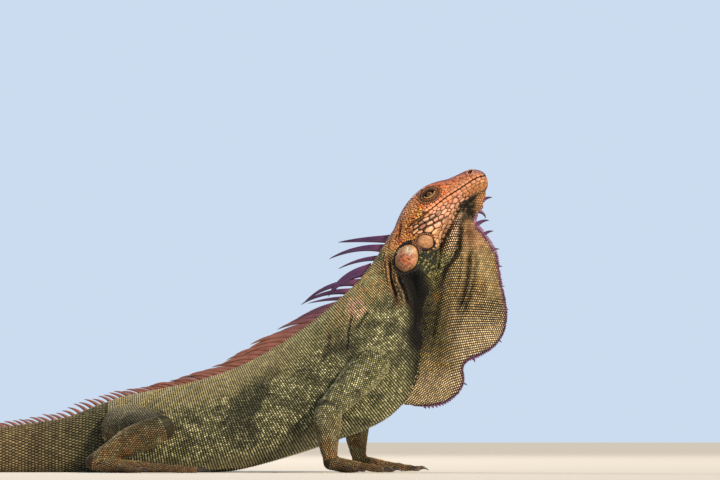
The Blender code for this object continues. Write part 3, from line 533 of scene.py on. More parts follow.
def ball(centre, radii, axes, columns=24, rows=14):
    # an ellipsoid, its radii along the three axes
    up = np.linspace(0, math.pi, rows)[1:-1]
    around = circle(columns)
    local = np.stack((np.outer(np.sin(up), np.cos(around)), np.outer(np.sin(up), np.sin(around)),
                      np.outer(np.cos(up), np.ones(columns))), axis=-1)
    points, triangles = tube(centre + (local * radii) @ axes, centre - axes[2] * radii[2])
    points[-2] = centre + axes[2] * radii[2]
    return points, triangles


# Skin
eyes = {
    "place": (3.9, 14.8, 6.3),  # forward, out and up in the head
    "radius": 5.9,
    "slit": (4.3, 2.2),  # half the opening's length and height
    "lids": (9.2, 7.6, 7.3),
    "forwards": 0.10,  # how much they look ahead
}
skinSizes = {"voxel": 0.0011, "smoothings": 5}


def laidOn(normals, spins, side=-1):
    # along the head, turned up at the front by spin degrees, then across, then off the surface
    spins = np.radians(spins)
    along = np.multiply.outer(np.cos(spins), pitchForward) + np.multiply.outer(np.sin(spins), pitchUp)
    along = unit(along - normals * np.sum(along * normals, axis=-1, keepdims=True))
    return np.stack((along, np.cross(normals, along) * side, normals), axis=-2)


def eyeAxes(side):
    # unrolled: along the head, up, outwards
    return laidOn(unit(sideways * side + pitchForward * eyes["forwards"]), 0.0, side)


def eyeCentre(side):
    return headPoint(eyes["place"][0], eyes["place"][1] * side, eyes["place"][2])


def dewlapShell():
    columns = 56
    around = np.concatenate((np.linspace(0, 1, columns // 2), np.linspace(1, 0, columns // 2)))
    sides = np.where(np.arange(columns) < columns // 2, -1.0, 1.0)
    return tube(np.array([dewlapPoint(np.full(columns, place), around, sides)
                          for place in np.linspace(0, len(dewlapRays) - 1, 150)]))


def limbShells():
    parts = []
    for name, surface, last, table in limbParts():
        isLength = name.startswith("limb")
        parts.append(surfaceTube(surface, 0, last, *((0.12, 36) if isLength else (0.25, 16))))
        if isLength and not name.endswith("_0"):  # a ball in each joint
            parts.append(ball(table[0, :3], np.full(3, table[0, 9] * 1.04), np.eye(3)))
    return parts


def bakeModifiers(item):
    graph = bpy.context.evaluated_depsgraph_get()
    item.data = bpy.data.meshes.new_from_object(item.evaluated_get(graph))
    item.modifiers.clear()


def makeSkin():
    parts = [surfaceTube(bodyPoint, 0, headEnd + 12, 0.25, 96),
             surfaceTube(bodyPoint, headEnd + 11, tailEnd, 0.1, 48), dewlapShell()] + limbShells()
    for side in (-1, 1):
        points, triangles = ball(eyeCentre(side), np.array(eyes["lids"]) * 0.001, eyeAxes(side))
        parts.append((posed(points), triangles))
    item = makeMesh("skin", *joined(parts))
    remesh = item.modifiers.new("remesh", "REMESH")
    remesh.mode = "VOXEL"
    remesh.voxel_size = skinSizes["voxel"]
    item.modifiers.new("smooth", "SMOOTH").iterations = skinSizes["smoothings"]
    bakeModifiers(item)
    return item


skin = makeSkin()
report("skin remeshed")


# Loose folds of neck, throat and dewlap, drawn in the side view. Each runs through x and z in millimetres of
# the photograph's plane. It stands out of both flanks by its rise, or bends thin skin towards the animal's
# right. A mark lets the colours find it.
folds = [
    # throat: the furrow behind the jaw, the broad beaded ridge beside it and the sharper furrow before that
    {"path": [(187.5, 226), (182, 213.6), (175.9, 204.5), (171.4, 195.4), (167.6, 186.3), (161, 175)],
     "width": 4.2, "rise": -3.4},
    {"path": [(189, 222), (185, 213), (182.3, 204.5), (180, 196.9), (177.5, 189.3), (174, 181), (168, 172),
              (162, 162.5)], "width": 7.4, "rise": 3.8, "mark": "throatRidge"},
    {"path": [(190, 217), (187.8, 209), (187, 197), (186.4, 189), (184.4, 184), (180, 178.6), (175.5, 173.5),
              (172.4, 167), (170.8, 157)], "width": 3.2, "rise": -2.8, "bend": -1.0, "mark": "throatFurrow"},
    # dewlap
    {"path": [(196, 196), (194.5, 178.8), (193.1, 165.2), (190.4, 151.7), (185, 138.1), (180.9, 124)],
     "width": 3.4, "bend": -2.6},
    {"path": [(200.5, 192), (199.6, 178.8), (198.3, 165.2), (195.4, 151.7), (190.5, 138.1), (184, 125)],
     "width": 2.6, "bend": -1.8},
    {"path": [(190.5, 190), (189.8, 178), (188.4, 165), (185.2, 151), (180.8, 138)], "width": 3.2,
     "bend": 2.0},
    {"path": [(204.5, 188), (203.8, 172), (201.5, 156), (197, 142), (190, 128)], "width": 3.4, "bend": 1.4},
    {"path": [(178, 160), (174, 142), (170, 122), (168, 104)], "width": 4.6, "bend": 2.2},
    {"path": [(172, 158), (167.5, 142), (164, 124), (162, 106)], "width": 3.6, "bend": -1.8},
    {"path": [(211, 172), (210, 150), (206, 128)], "width": 4.2, "bend": 0.8},
    # creases of the cheek behind the mouth and between its plates
    {"path": [(160, 221), (154, 216.5), (147.8, 212.1), (141, 206)], "width": 1.5, "rise": -0.9,
     "mark": "cheek"},
    {"path": [(145.3, 203.8), (149.2, 206.5), (153.2, 210.1), (156.8, 212.1), (160.5, 213.9), (166.2, 217.4),
              (170.2, 221.7)], "width": 1.6, "rise": -1.4, "mark": "cheek"},
    {"path": [(152.3, 205.3), (155.6, 206), (158.3, 208), (162, 210), (165.6, 211.6), (169, 213.2),
              (176.6, 217.1)], "width": 1.5, "rise": -1.4, "mark": "cheek"},
    # creases behind the shield, down the side of the neck
    {"path": [(126, 182), (127.4, 172), (128.6, 163), (131.8, 153), (133.6, 143)], "width": 3.4, "rise": -2.4,
     "mark": "neckCrease"},
    {"path": [(133, 170), (136, 161), (140.4, 152.5), (142.6, 145), (147, 138)], "width": 3.2, "rise": -2.2,
     "mark": "neckCrease"},
    {"path": [(123, 194), (123.6, 180), (124.8, 168), (127.6, 152)], "width": 2.8, "rise": 1.5,
     "mark": "neckRidge"},
    {"path": [(129.4, 172), (132.4, 161), (136.6, 151), (139, 142)], "width": 2.8, "rise": 1.7,
     "mark": "neckRidge"},
    # hollow below the shield, between neck and dewlap; its mark paints near-black shade into it
    {"path": [(143, 173), (148, 160), (152, 148), (153.5, 132), (151.5, 112)], "width": 9.0, "rise": -5.0,
     "mark": "hollow"},
    # nape, behind the eardrum
    {"path": [(132, 208), (128, 198), (125.5, 188)], "width": 2.2, "rise": -1.4},
    {"path": [(137.5, 213), (135.8, 204), (133.2, 195)], "width": 2.0, "rise": -2.0},
    # shoulder
    {"path": [(96, 139), (92, 120), (90.1, 98)], "width": 3.6, "rise": -1.8},
    {"path": [(110, 139), (103, 128), (96, 118)], "width": 4.0, "rise": -1.7},
    {"path": [(76, 122), (74, 104), (67, 88)], "width": 5.0, "rise": -1.4},
]


def gapTo(plane, mark):
    # how far each point lies from the nearest fold with this mark, in millimetres
    return np.min([alongPath(plane, fold["path"])[0] for fold in folds if fold.get("mark") == mark], axis=0)


def foldLift(points, normals):
    lift, bend = np.zeros(len(points)), np.zeros(len(points))
    plane = inPlane(points)
    facing = smoothStep((np.abs(normals[:, 1]) - 0.25) / 0.35)
    for fold in folds:
        gap, share = alongPath(plane, fold["path"])
        ends = smoothStep(share / 0.2) * falling(share, 1, 0.25)
        shape = 0.001 * smoothStep(1 - gap / fold["width"]) * ends
        lift += fold.get("rise", 0.0) * shape * facing
        bend -= fold.get("bend", 0.0) * shape
    return lift, bend


def foldSkin():
    points, _, normals = arraysOf(skin.data)
    lift, bend = foldLift(points, normals)
    moved = points + normals * lift[:, None] + np.multiply.outer(bend, sideways)
    moved[:, 2] = np.maximum(moved[:, 2], coatDepth)
    skin.data.vertices.foreach_set("co", moved.astype(np.float32).ravel())
    skin.data.update()


foldSkin()
mouth = {"halfGap": 0.42, "depth": 2.0, "corner": -9}  # the corner by how far forward it lies in the head
# the nostril's place is forward and up in the head, and its spin is in degrees
nostril = {"spot": (44.2, 6.2), "radii": (2.2, 1.5), "spin": 20, "depth": 2.6}


def mouthHeight(forward):
    behind = 2.2 * falling(forward, 54, 40) + 3.6 * falling(forward, 20, 28)
    return -1.0 - behind - 1.4 * rising(forward, 45, 8)


def cutSkin():
    # mouth line, eye openings and nostrils
    forward = np.linspace(mouth["corner"], 62, 30)
    gap = mouth["halfGap"] * (0.12 + 0.88 * rising(forward, mouth["corner"], 14))
    rings = [headPoint(forward, np.full(30, reach), mouthHeight(forward) + lift * gap)
             for reach, lift in ((-34, -1), (-34, 1), (34, 1), (34, -1))]
    slab = makeMesh("slab", *tube(np.stack(rings, axis=1)))
    # the slab is cut off along a smaller head, so that the line stays shallow
    places, angles = np.repeat(np.linspace(0, headEnd, 60), 64), np.tile(np.arange(64) * math.pi / 32, 60)
    core = bodyPoint(places, angles, -mouth["depth"] * 0.001)
    core = core - (bodyShift, 0, 0) - headBase
    core = headBase + turnedAbout(core, pitchForward, np.full(len(core), -headPose["roll"]))
    core = makeMesh("core", *tube(core.reshape(60, 64, 3)))
    applyBoolean(slab, core)
    points = arraysOf(slab.data)[0]
    slab.data.vertices.foreach_set("co", posed(points).astype(np.float32).ravel())
    cutters = [slab]
    for side in (-1, 1):
        axes, centre = eyeAxes(side), eyeCentre(side)
        around = np.arange(32) * math.pi / 16
        droop = np.where(np.sin(around) > 0, 0.78, 1.0)  # the upper lid hangs lower
        pinch = 1 - 0.30 * np.abs(np.cos(around))
        almond = np.stack((eyes["slit"][0] * np.cos(around),
                           eyes["slit"][1] * np.sin(around) * droop * pinch), axis=1)
        rings = []
        for depth, spread in ((1.0, 0.94), (5.0, 1.0), (15.0, 1.5)):
            local = np.column_stack((almond * spread, np.full(32, depth))) * 0.001
            rings.append(posed(centre + local @ axes))
        cutters.append(makeMesh("opening", *tube(np.array(rings))))
        points, triangles = ball(centre, np.full(3, (eyes["radius"] + 0.15) * 0.001), axes, 32, 20)
        cutters.append(makeMesh("socket", posed(points), triangles))
        start = headPoint(nostril["spot"][0], 60.0 * side, nostril["spot"][1])
        start, way = posed(start), posed(start - sideways * side * 0.01) - posed(start)
        spot, normal = skin.ray_cast(start.tolist(), unit(way).tolist())[1:3]
        axes = laidOn(np.array(normal), nostril["spin"], side)
        hole = ball(np.array(spot), np.array((*nostril["radii"], nostril["depth"])) * 0.001, axes, 20, 12)
        cutters.append(makeMesh("hole", *hole))
    for cutter in cutters:
        shape = bmesh.new()
        shape.from_mesh(cutter.data)
        bmesh.ops.recalc_face_normals(shape, faces=shape.faces)
        shape.to_mesh(cutter.data)
        shape.free()
        applyBoolean(skin, cutter)


def applyBoolean(item, cutter):
    modifier = item.modifiers.new("cut", "BOOLEAN")
    modifier.operation = "DIFFERENCE"
    modifier.object = cutter
    modifier.solver = "MANIFOLD"
    bakeModifiers(item)
    bpy.data.objects.remove(cutter)


cutSkin()
report("skin folded and cut")

skinPoints, skinTriangles, skinNormals = arraysOf(skin.data)
skinTree = BVHTree.FromPolygons(skinPoints.tolist(), skinTriangles.tolist())
report("skin tree")


def onSkin(points):
    # nearest places on the skin, their smooth normals and how far they were
    found = [skinTree.find_nearest(point) for point in points.tolist()]
    spots = np.array([row[0] for row in found])
    normals = skinNormals[skinTriangles[[row[2] for row in found]]].mean(axis=1)
    return spots, unit(normals), np.array([row[3] for row in found])


def spotsFromSide(forward, up, side):
    # where the camera sees this place of the middle plane on the head, mirrored for the left
    goals = headPoint(np.asarray(forward, float), np.zeros(len(forward)), np.asarray(up, float))
    goals = goals + (bodyShift, 0, 0)
    ways = unit(goals - viewPoint)
    # a line that passes just over the outline takes the nearest skin to the midline instead
    found = [skinTree.ray_cast(Vector(goal - way * 0.12), Vector(way), 0.12)[0] or tuple(goal - way * 0.006)
             for goal, way in zip(goals, ways)]
    spots = np.array([tuple(row) for row in found])
    if side > 0:
        local = headLocal(spots)
        spots = posed(headPoint(local[:, 0], -local[:, 1], local[:, 2]))
    return onSkin(spots)[:2]


def spotsSquareOn(forward, up, side):
    # the same, but by the head's own heights: straight in from its flank
    forward, up = np.asarray(forward, float), np.asarray(up, float)
    far, close = (posed(headPoint(forward, np.full(len(forward), reach * side), up))
                  for reach in (60.0, 50.0))
    found = [skinTree.ray_cast(Vector(start), Vector(way), 0.12)[0] or tuple(start + way * 0.05)
             for start, way in zip(far, unit(close - far))]
    return onSkin(np.array([tuple(row) for row in found]))[:2]


# Head plates. Each seed has a spot, a normal, the way it points, two radii, a height and a kind.
plates = {"spots": [], "normals": [], "along": [], "radii": [], "rise": [], "kind": []}
plateKinds = ["fill", "lip", "jaw", "lidEdge", "lid", "lidDark", "brow", "ring", "nostril", "chin"]


def addPlates(spots, normals, spins, long, short, rise, kind, side=-1):
    count = len(spots)
    plates["spots"].append(spots)
    plates["normals"].append(normals)
    plates["along"].append(laidOn(normals, np.broadcast_to(spins, count), side)[:, 0])
    sizes = [np.broadcast_to(size, count) for size in (long, short)]
    plates["radii"].append(np.stack(sizes, 1).astype(float))
    plates["rise"].append(np.broadcast_to(rise, count).astype(float))
    plates["kind"].append(np.full(count, plateKinds.index(kind)))


# The cheek's enlarged scales as the camera sees them: x, z, long and short radius, degrees over level
jawPlates = [
    (182.9, 230.5, 2.9, 1.5, 32), (186.9, 234.7, 2.4, 1.5, 30), (179.9, 225.5, 2.8, 1.3, 35),
    (176.6, 225.8, 1.9, 1.1, 35), (174.4, 227.9, 1.7, 1.0, 33), (172.3, 224.4, 2.1, 1.1, 38),
    (168.5, 223.2, 1.6, 0.9, 38), (173.5, 221.4, 3.2, 1.3, 34), (168.4, 220.1, 2.6, 1.4, 38),
    (175.9, 219.7, 2.9, 1.3, 36), (164.9, 220.8, 2.0, 0.9, 35), (163.5, 216.8, 2.6, 1.3, 35),
    (166.4, 214.4, 2.3, 1.4, 30), (170.5, 216.5, 2.3, 1.3, 32), (161.4, 211.3, 2.9, 1.3, 25),
    (158.0, 214.4, 2.7, 1.3, 28), (173.8, 214.1, 3.3, 1.8, 33), (167.5, 210.0, 3.8, 2.0, 15),
    (177.6, 212.1, 1.8, 1.6, 40), (172.5, 208.0, 2.7, 1.8, 45), (176.6, 208.6, 1.8, 0.9, 50),
    (160.6, 206.3, 4.7, 2.1, 22), (165.6, 204.5, 3.8, 1.4, 22), (169.7, 201.9, 3.9, 2.1, 40),
    (174.3, 205.1, 1.8, 1.0, 50), (170.0, 199.1, 1.7, 0.9, 40), (155.3, 208.5, 2.9, 1.3, 25),
    (149.1, 204.2, 3.0, 1.0, 42), (153.0, 203.9, 2.7, 0.9, 20), (167.1, 196.2, 1.8, 1.8, 0),
    (170.0, 195.9, 1.4, 1.5, 0), (154.0, 211.6, 2.4, 1.0, 28), (150.0, 208.6, 2.4, 0.9, 34),
    (180.2, 222.0, 1.8, 1.2, 40), (180.6, 216.6, 1.6, 1.2, 45), (184.3, 227.0, 2.0, 1.3, 38),
    (188.6, 231.6, 2.2, 1.3, 34), (166.5, 192.2, 1.4, 1.3, 0), (163.6, 190.2, 1.2, 1.1, 0),
    (177.6, 222.6, 2.0, 1.1, 38), (177.8, 217.0, 1.8, 1.2, 42), (182.6, 219.8, 1.4, 1.1, 45),
    (172.6, 200.6, 1.6, 1.0, 55), (171.8, 196.6, 1.4, 1.0, 55), (185.4, 223.8, 1.6, 1.0, 40),
    (190.6, 235.2, 1.8, 1.2, 32), (192.6, 232.6, 1.6, 1.0, 32),
]
# places forward and up in the head, spins in degrees
shield = {"spot": (-39.4, -27.2), "radii": (12.3, 10.4), "spin": 38, "height": 3.6}
secondPlate = {"spot": (-18.1, -23.6), "radii": (8.7, 5.9), "spin": -41, "height": 2.4}
ear = {"spot": (-34.8, -6.5), "zone": (8, 9)}  # the scales over the eardrum are small


def rowOfPlates(start, end, count, gap, radii, rise, kind, side):
    # a row that follows the mouth line, at a gap above or below it
    forward = np.linspace(start, end, count) + rng.uniform(-0.1, 0.1, count) * abs(start - end) / count
    up = mouthHeight(forward) + gap
    spots, normals = spotsSquareOn(forward, up, side)
    spins = np.degrees(np.arctan(np.gradient(up, forward)))
    long, short = (radius * rng.uniform(0.85, 1.15, count) for radius in radii)
    addPlates(spots, normals, spins, long, short, rise, kind, side)


def seedLids(side):
    # rings of granules round the eye's opening, each seen square on to the eye
    axes, centre = eyeAxes(side), eyeCentre(side)
    for grow, count, radius, rise, kind in ((0.6, 40, 0.42, 0.5, "lidEdge"), (1.5, 38, 0.5, 0.25, "lidDark"),
                                            (2.5, 36, 0.62, 0.5, "lid"), (3.7, 36, 0.74, 0.3, "lidDark"),
                                            (5.1, 36, 0.9, 0.5, "lid")):
        around = (np.arange(count) + 0.5 * (count % 4 == 0)) * 2 * math.pi / count
        local = np.stack(((eyes["slit"][0] + grow * 1.1) * np.cos(around),
                          (eyes["slit"][1] + grow * 1.05) * np.sin(around), np.full(count, 9.0)), 1) * 0.001
        way = posed(centre - axes[2] * 0.01) - posed(centre)
        found = [skinTree.ray_cast(point, way)[0] for point in posed(centre + local @ axes).tolist()]
        spots, normals, _ = onSkin(np.array(found))
        addPlates(spots, normals, 0, radius, radius * 0.9, rise, kind, side)


def seedHead():
    table, pitch = np.array(jawPlates), headPose["pitch"]
    for side in (-1, 1):
        for start, end, count, gap, radii, rise, kind in (
                (52, -5, 16, 1.8, (2.2, 1.1), 0.3, "lip"), (51.5, -7, 13, -1.8, (2.8, 1.2), 0.35, "lip"),
                (49, 27, 6, -4.3, (2.4, 1.3), 0.4, "chin"), (47, 26, 5, -6.9, (2.4, 1.3), 0.4, "chin")):
            rowOfPlates(start, end, count, gap, radii, rise, kind, side)
        dx, dz = (table[:, k] - headPose["origin"][k] for k in (0, 1))
        spots, normals = spotsFromSide(dx * math.cos(pitch) + dz * math.sin(pitch),
                                       dz * math.cos(pitch) - dx * math.sin(pitch), side)
        addPlates(spots, normals, table[:, 4] - math.degrees(pitch), table[:, 2], table[:, 3],
                  0.50 + 0.34 * table[:, 3], "jaw", side)
        around, spin = circle(11), math.radians(nostril["spin"])
        a, b = ((radius + 1.0) * wave(around) for radius, wave in zip(nostril["radii"], (np.cos, np.sin)))
        spots, normals = spotsSquareOn(nostril["spot"][0] + a * math.cos(spin) - b * math.sin(spin),
                                       nostril["spot"][1] + a * math.sin(spin) + b * math.cos(spin), side)
        addPlates(spots, normals, 0, 0.95, 0.95, 0.6, "nostril", side)
        seedLids(side)
        # ridge over the eye, from the brow to the nostril
        forward = np.array((-6.5, -1.5, 3.5, 8.5, 13.5, 19.0, 25.0, 31.0, 37.0))
        up = np.array((15.6, 16.9, 17.3, 16.6, 14.9, 12.6, 10.6, 9.6, 9.4)) - 1.6
        spots, normals = spotsFromSide(forward, up, side)
        addPlates(spots, normals, (12, 6, -4, -14, -22, -20, -14, -6, 0), 2.7, 1.7, 0.8, "brow", side)


seedHead()


def headFillSize(local):
    # half the spacing across the plain head scales, in millimetres, by place on the head
    forward, up = local[:, 0], local[:, 2]
    size = np.full(len(local), 0.86)
    size = size + 0.30 * rising(forward, 12, 12)
    size = size + 0.22 * rising(up, 9, 4)
    under = smoothStep((mouthHeight(forward) - 12 - up) / 4)
    size = size * (1 - under) + 0.84 * under
    ears = np.hypot((forward - ear["spot"][0]) / ear["zone"][0], (up - ear["spot"][1]) / ear["zone"][1])
    return np.where(ears < 1, 0.72, size)


def ofKind(kinds, name):
    return kinds == plateKinds.index(name)


def inHead(local):
    # in front of the plane that parts head and neck, and off the dewlap
    sections = np.array(headSections)[::-1]
    floor = np.interp(local[:, 0], sections[:, 2], sections[:, 3])
    ahead = (local[:, 0] + 50.6) * 0.924 + (local[:, 2] + 8.3) * 0.383
    return (ahead > 0.5) & ((local[:, 2] > floor + 1.2) | (np.abs(local[:, 1]) > 5.5))


def plateFrame(sizes, side):
    # a big plate's middle on the skin, its normal and its axes
    middle, normal = spotsFromSide([sizes["spot"][0]], [sizes["spot"][1]], side)
    return middle[0], normal[0], laidOn(normal[0], sizes["spin"], side)


def shareOfPlate(spots, sizes, grow, side):
    # how far a spot is from a big plate's middle, as a share of its radii plus a margin
    middle, _, axes = plateFrame(sizes, side)
    spans = (spots - middle) @ axes.T * 1000
    flat = np.hypot(spans[:, 0] / (sizes["radii"][0] + grow), spans[:, 1] / (sizes["radii"][1] + grow))
    return np.where(np.abs(spans[:, 2]) < 9, flat, 9.0)


def ringSeeds():
    # beads round the shield and the second plate; the shield's outer ring shows only in front of it
    for side in (-1, 1):
        for sizes, grow, count, radius in ((shield, 1.4, 46, 0.7), (shield, 2.8, 50, 0.8),
                                           (secondPlate, 0.9, 36, 0.55)):
            middle, _, axes = plateFrame(sizes, side)
            around = circle(count)
            local = np.stack(((sizes["radii"][0] + grow) * np.cos(around),
                              (sizes["radii"][1] + grow) * np.sin(around), np.zeros(count)), 1) * 0.001
            spots, normals, _ = onSkin(middle + local @ axes)
            kept = (inPlane(spots)[:, 0] > inPlane(middle[None])[0, 0] + 3) | (grow < 2)
            addPlates(spots[kept], normals[kept], 0, radius, radius, 0.6, "ring", side)


ringSeeds()
headFill = {
    "stretch": 0.74,  # how broad a plain scale is against its length
    "tries": 70000,
    "room": 0.86,  # how much of their radii two scales keep apart
}


def cellOf(spot, size):
    return tuple(math.floor(value / size) for value in spot)


def beside(grid, cell):
    # what the grid holds in a cell and in those round it
    x, y, z = cell
    return (row for i in (-1, 0, 1) for j in (-1, 0, 1) for k in (-1, 0, 1)
            for row in grid.get((x + i, y + j, z + k), ()))


def roomOnHead(spots, local):
    # where plain scales may go: off the eyes, nostrils, big plates, jaw plates and mouth line
    free = np.full(len(spots), True)
    places = headPoint(*local.T) * 1000
    for side in (-1, 1):
        spans = (places - eyeCentre(side) * 1000) @ eyeAxes(side).T
        free &= ~((np.hypot(spans[:, 0] / 6.2, spans[:, 1] / 4.6) < 1) & (spans[:, 2] > 0))
        for sizes, grow in ((shield, 2.2), (secondPlate, 1.2)):
            free &= shareOfPlate(spots, sizes, grow, side) > 1
    free &= ~((np.hypot(local[:, 0] - nostril["spot"][0], local[:, 2] - nostril["spot"][1]) < 2.0)
              & (np.abs(local[:, 1]) > 5))
    middles, normals, ways, sizes, kinds = (np.concatenate(plates[key]) for key in
                                            ("spots", "normals", "along", "radii", "kind"))
    for k in np.where(ofKind(kinds, "jaw"))[0]:
        gaps = (spots - middles[k]) * 1000
        long, short = gaps @ ways[k], gaps @ np.cross(normals[k], ways[k])
        clear = np.hypot(long / (sizes[k, 0] + 1.9), short / (sizes[k, 1] + 1.9)) > 1
        free &= clear | (np.abs(gaps @ normals[k]) > 4)
    lips = np.abs(local[:, 2] - mouthHeight(local[:, 0])) < 1.0
    return free & ~(lips & (local[:, 0] > mouth["corner"] + 3))


def fillHead():
    # random candidates all over the head, kept where there is room; along the head their gaps count for less
    corners = skinPoints[skinTriangles]
    wanted = np.where(inHead(headLocal(corners.mean(axis=1))))[0]
    edges = [corners[wanted, k] - corners[wanted, 0] for k in (1, 2)]
    areas = np.linalg.norm(np.cross(*edges), axis=1)
    picks = wanted[rng.choice(len(wanted), headFill["tries"], p=areas / areas.sum())]
    shares = rng.random((headFill["tries"], 2))
    shares = np.where(shares.sum(axis=1, keepdims=True) > 1, 1 - shares, shares)
    spots = corners[picks, 0] + sum((corners[picks, k + 1] - corners[picks, 0]) * shares[:, k:k + 1]
                                    for k in (0, 1))
    normals = unit(skinNormals[skinTriangles[picks]].mean(axis=1))
    local = headLocal(spots)
    radii = headFillSize(local) * 0.001
    free = roomOnHead(spots, local)
    cell, grid, loss, room = 0.004, {}, 1 - headFill["stretch"], headFill["room"]
    seeds = (np.concatenate(plates[key]) for key in ("spots", "along", "radii"))
    for spot, along, (long, short) in zip(*seeds):
        for shift in ((-0.9, 0.0, 0.9) if long > short * 1.25 else (0,)):
            place = spot + along * shift * (long - short) * 0.001
            place = place - pitchForward * (place @ pitchForward) * loss
            grid.setdefault(cellOf(place, cell), []).append((*place, short * 0.001))
    squeezed = (spots - np.multiply.outer(spots @ pitchForward, pitchForward) * loss).tolist()
    kept = []
    for k in np.where(free)[0]:
        spot, radius, mine = squeezed[k], radii[k], cellOf(squeezed[k], cell)
        if all((spot[0] - x)**2 + (spot[1] - y)**2 + (spot[2] - z)**2 > ((radius + other) * room)**2
               for x, y, z, other in beside(grid, mine)):
            grid.setdefault(mine, []).append((*spot, radius))
            kept.append(k)
    size = radii[kept] * 1000
    taut = rising(local[kept, 0], 2, 14)  # skin over the snout is tight, and its scales lie flush
    addPlates(spots[kept], normals[kept], 4, size * 1.12 / headFill["stretch"], size * 1.12,
              (0.16 + 0.28 * size) * (1 - 0.5 * taut), "fill")


fillHead()
headSeeds = {key: np.concatenate(rows) for key, rows in plates.items()}
report("head seeded")


def ellipseRadius(radii, angles):
    return 1 / np.hypot(np.cos(angles) / radii[..., 0], np.sin(angles) / radii[..., 1])


def cellOutlines(seeds, turns, neighbours=26):
    # each scale's outline as radii round its spot: it meets its neighbours half way, less a furrow
    spots, normals, along = seeds["spots"], seeds["normals"], seeds["along"]
    across = np.cross(normals, along)
    tree = treeOf(spots)
    near = np.array([[row[1] for row in tree.find_n(spot, neighbours + 1)[1:]] for spot in spots.tolist()])
    gaps = spots[near] - spots[:, None]
    a, b = (np.einsum("nkc,nc->nk", gaps, axis) for axis in (along, across))
    far = np.linalg.norm(gaps, axis=2) * 1000
    toward = np.arctan2(b, a)
    own = ellipseRadius(seeds["radii"][:, None], toward)
    back = np.arctan2(*(-np.einsum("nkc,nkc->nk", gaps, axis[near]) for axis in (across, along)))
    other = ellipseRadius(seeds["radii"][near], back)
    # two scales meet on a line that runs with both of their outlines
    radii, theirRadii = seeds["radii"][:, None], seeds["radii"][near]
    mine = unit(np.stack((np.cos(toward) / radii[..., 0]**2, np.sin(toward) / radii[..., 1]**2), -1))
    theirs = -unit((np.cos(back) / theirRadii[..., 0]**2)[..., None] * along[near]
                   + (np.sin(back) / theirRadii[..., 1]**2)[..., None] * across[near])
    theirs = np.stack([np.einsum("nkc,nc->nk", theirs, axis) for axis in (along, across)], -1)
    square = unit(mine * own[..., None] + theirs * other[..., None])
    slant = np.cos(toward) * square[..., 0] + np.sin(toward) * square[..., 1]
    jaws = ofKind(seeds["kind"], "jaw")
    edge = np.maximum(far * own / (own + other) * slant - np.where(jaws, 0.24, 0.07)[:, None], 0.25)
    toward = np.arctan2(square[..., 1], square[..., 0])
    # nothing grows over the mouth line
    local = headLocal(spots)
    drop = local[:, 2] - mouthHeight(local[:, 0])
    lipped = (np.abs(drop) < 6) & (local[:, 0] > mouth["corner"] - 1)
    away = np.sign(drop)[:, None] * -turnedAbout(pitchUp, pitchForward, headPose["roll"])
    toLips = np.arctan2(np.sum(away * across, axis=1), np.sum(away * along, axis=1))
    lipEdge = np.where(lipped, np.maximum(np.abs(drop) - mouth["halfGap"] - 0.05, 0.3), 99.0)
    edge, toward = np.column_stack((edge, lipEdge)), np.column_stack((toward, toLips))
    angles = circle(turns)
    facing = np.cos(angles[None, None] - toward[:, :, None])
    reach = np.where(facing > 0.12, edge[:, :, None] / np.maximum(facing, 0.12), 99.0)
    limit = ellipseRadius(seeds["radii"][:, None], angles[None]) * np.where(jaws, 1.75, 1.38)[:, None]
    power = 14  # rounds the outline's corners
    return (np.sum(reach ** -power, axis=1) + limit ** -power) ** (-1 / power), angles, across


def buildPlates(pick, turns, rings, onto):
    # rings: share of the outline, share of the height; onto lays each ring on the skin
    outline, angles, across = cellOutlines(headSeeds, turns)
    outline, across, count = outline[pick], across[pick], len(pick)
    spots, normals, along, rise = (headSeeds[key][pick] for key in ("spots", "normals", "along", "rise"))
    ways = np.cos(angles)[None, :, None] * along[:, None] + np.sin(angles)[None, :, None] * across[:, None]
    levels = []
    for share, height in rings:
        flat = spots[:, None] + ways * (outline * share * 0.001)[:, :, None]
        lift = normals[:, None] * np.ones((1, turns, 1))
        if onto:
            found, lifted, gap = onSkin(flat.reshape(-1, 3))
            good, upright = (gap < 0.0035)[:, None], np.repeat(normals, turns, axis=0)
            flat = np.where(good, found, flat.reshape(-1, 3)).reshape(count, turns, 3)
            lift = np.where(good, unit(lifted + upright), upright).reshape(count, turns, 3)
        levels.append(flat + lift * (height * rise * 0.001)[:, None, None])
    top = (spots + normals * (rise * 0.001)[:, None])[:, None]
    points = np.concatenate(levels + [top], axis=1)
    each = points.shape[1]
    height = np.concatenate([np.full(turns, max(0, h)) for _, h in rings] + [[1.0]])
    local = np.concatenate([ways * share for share, _ in rings] + [top * 0], axis=1)
    flatUv = np.stack([np.einsum("npc,nc->np", local, axis) for axis in (along, across)], axis=2)
    triangles = copies(domeTriangles(len(rings), turns), count, each)
    return points.reshape(-1, 3), triangles, np.tile(height, count), flatUv.reshape(-1, 2), each
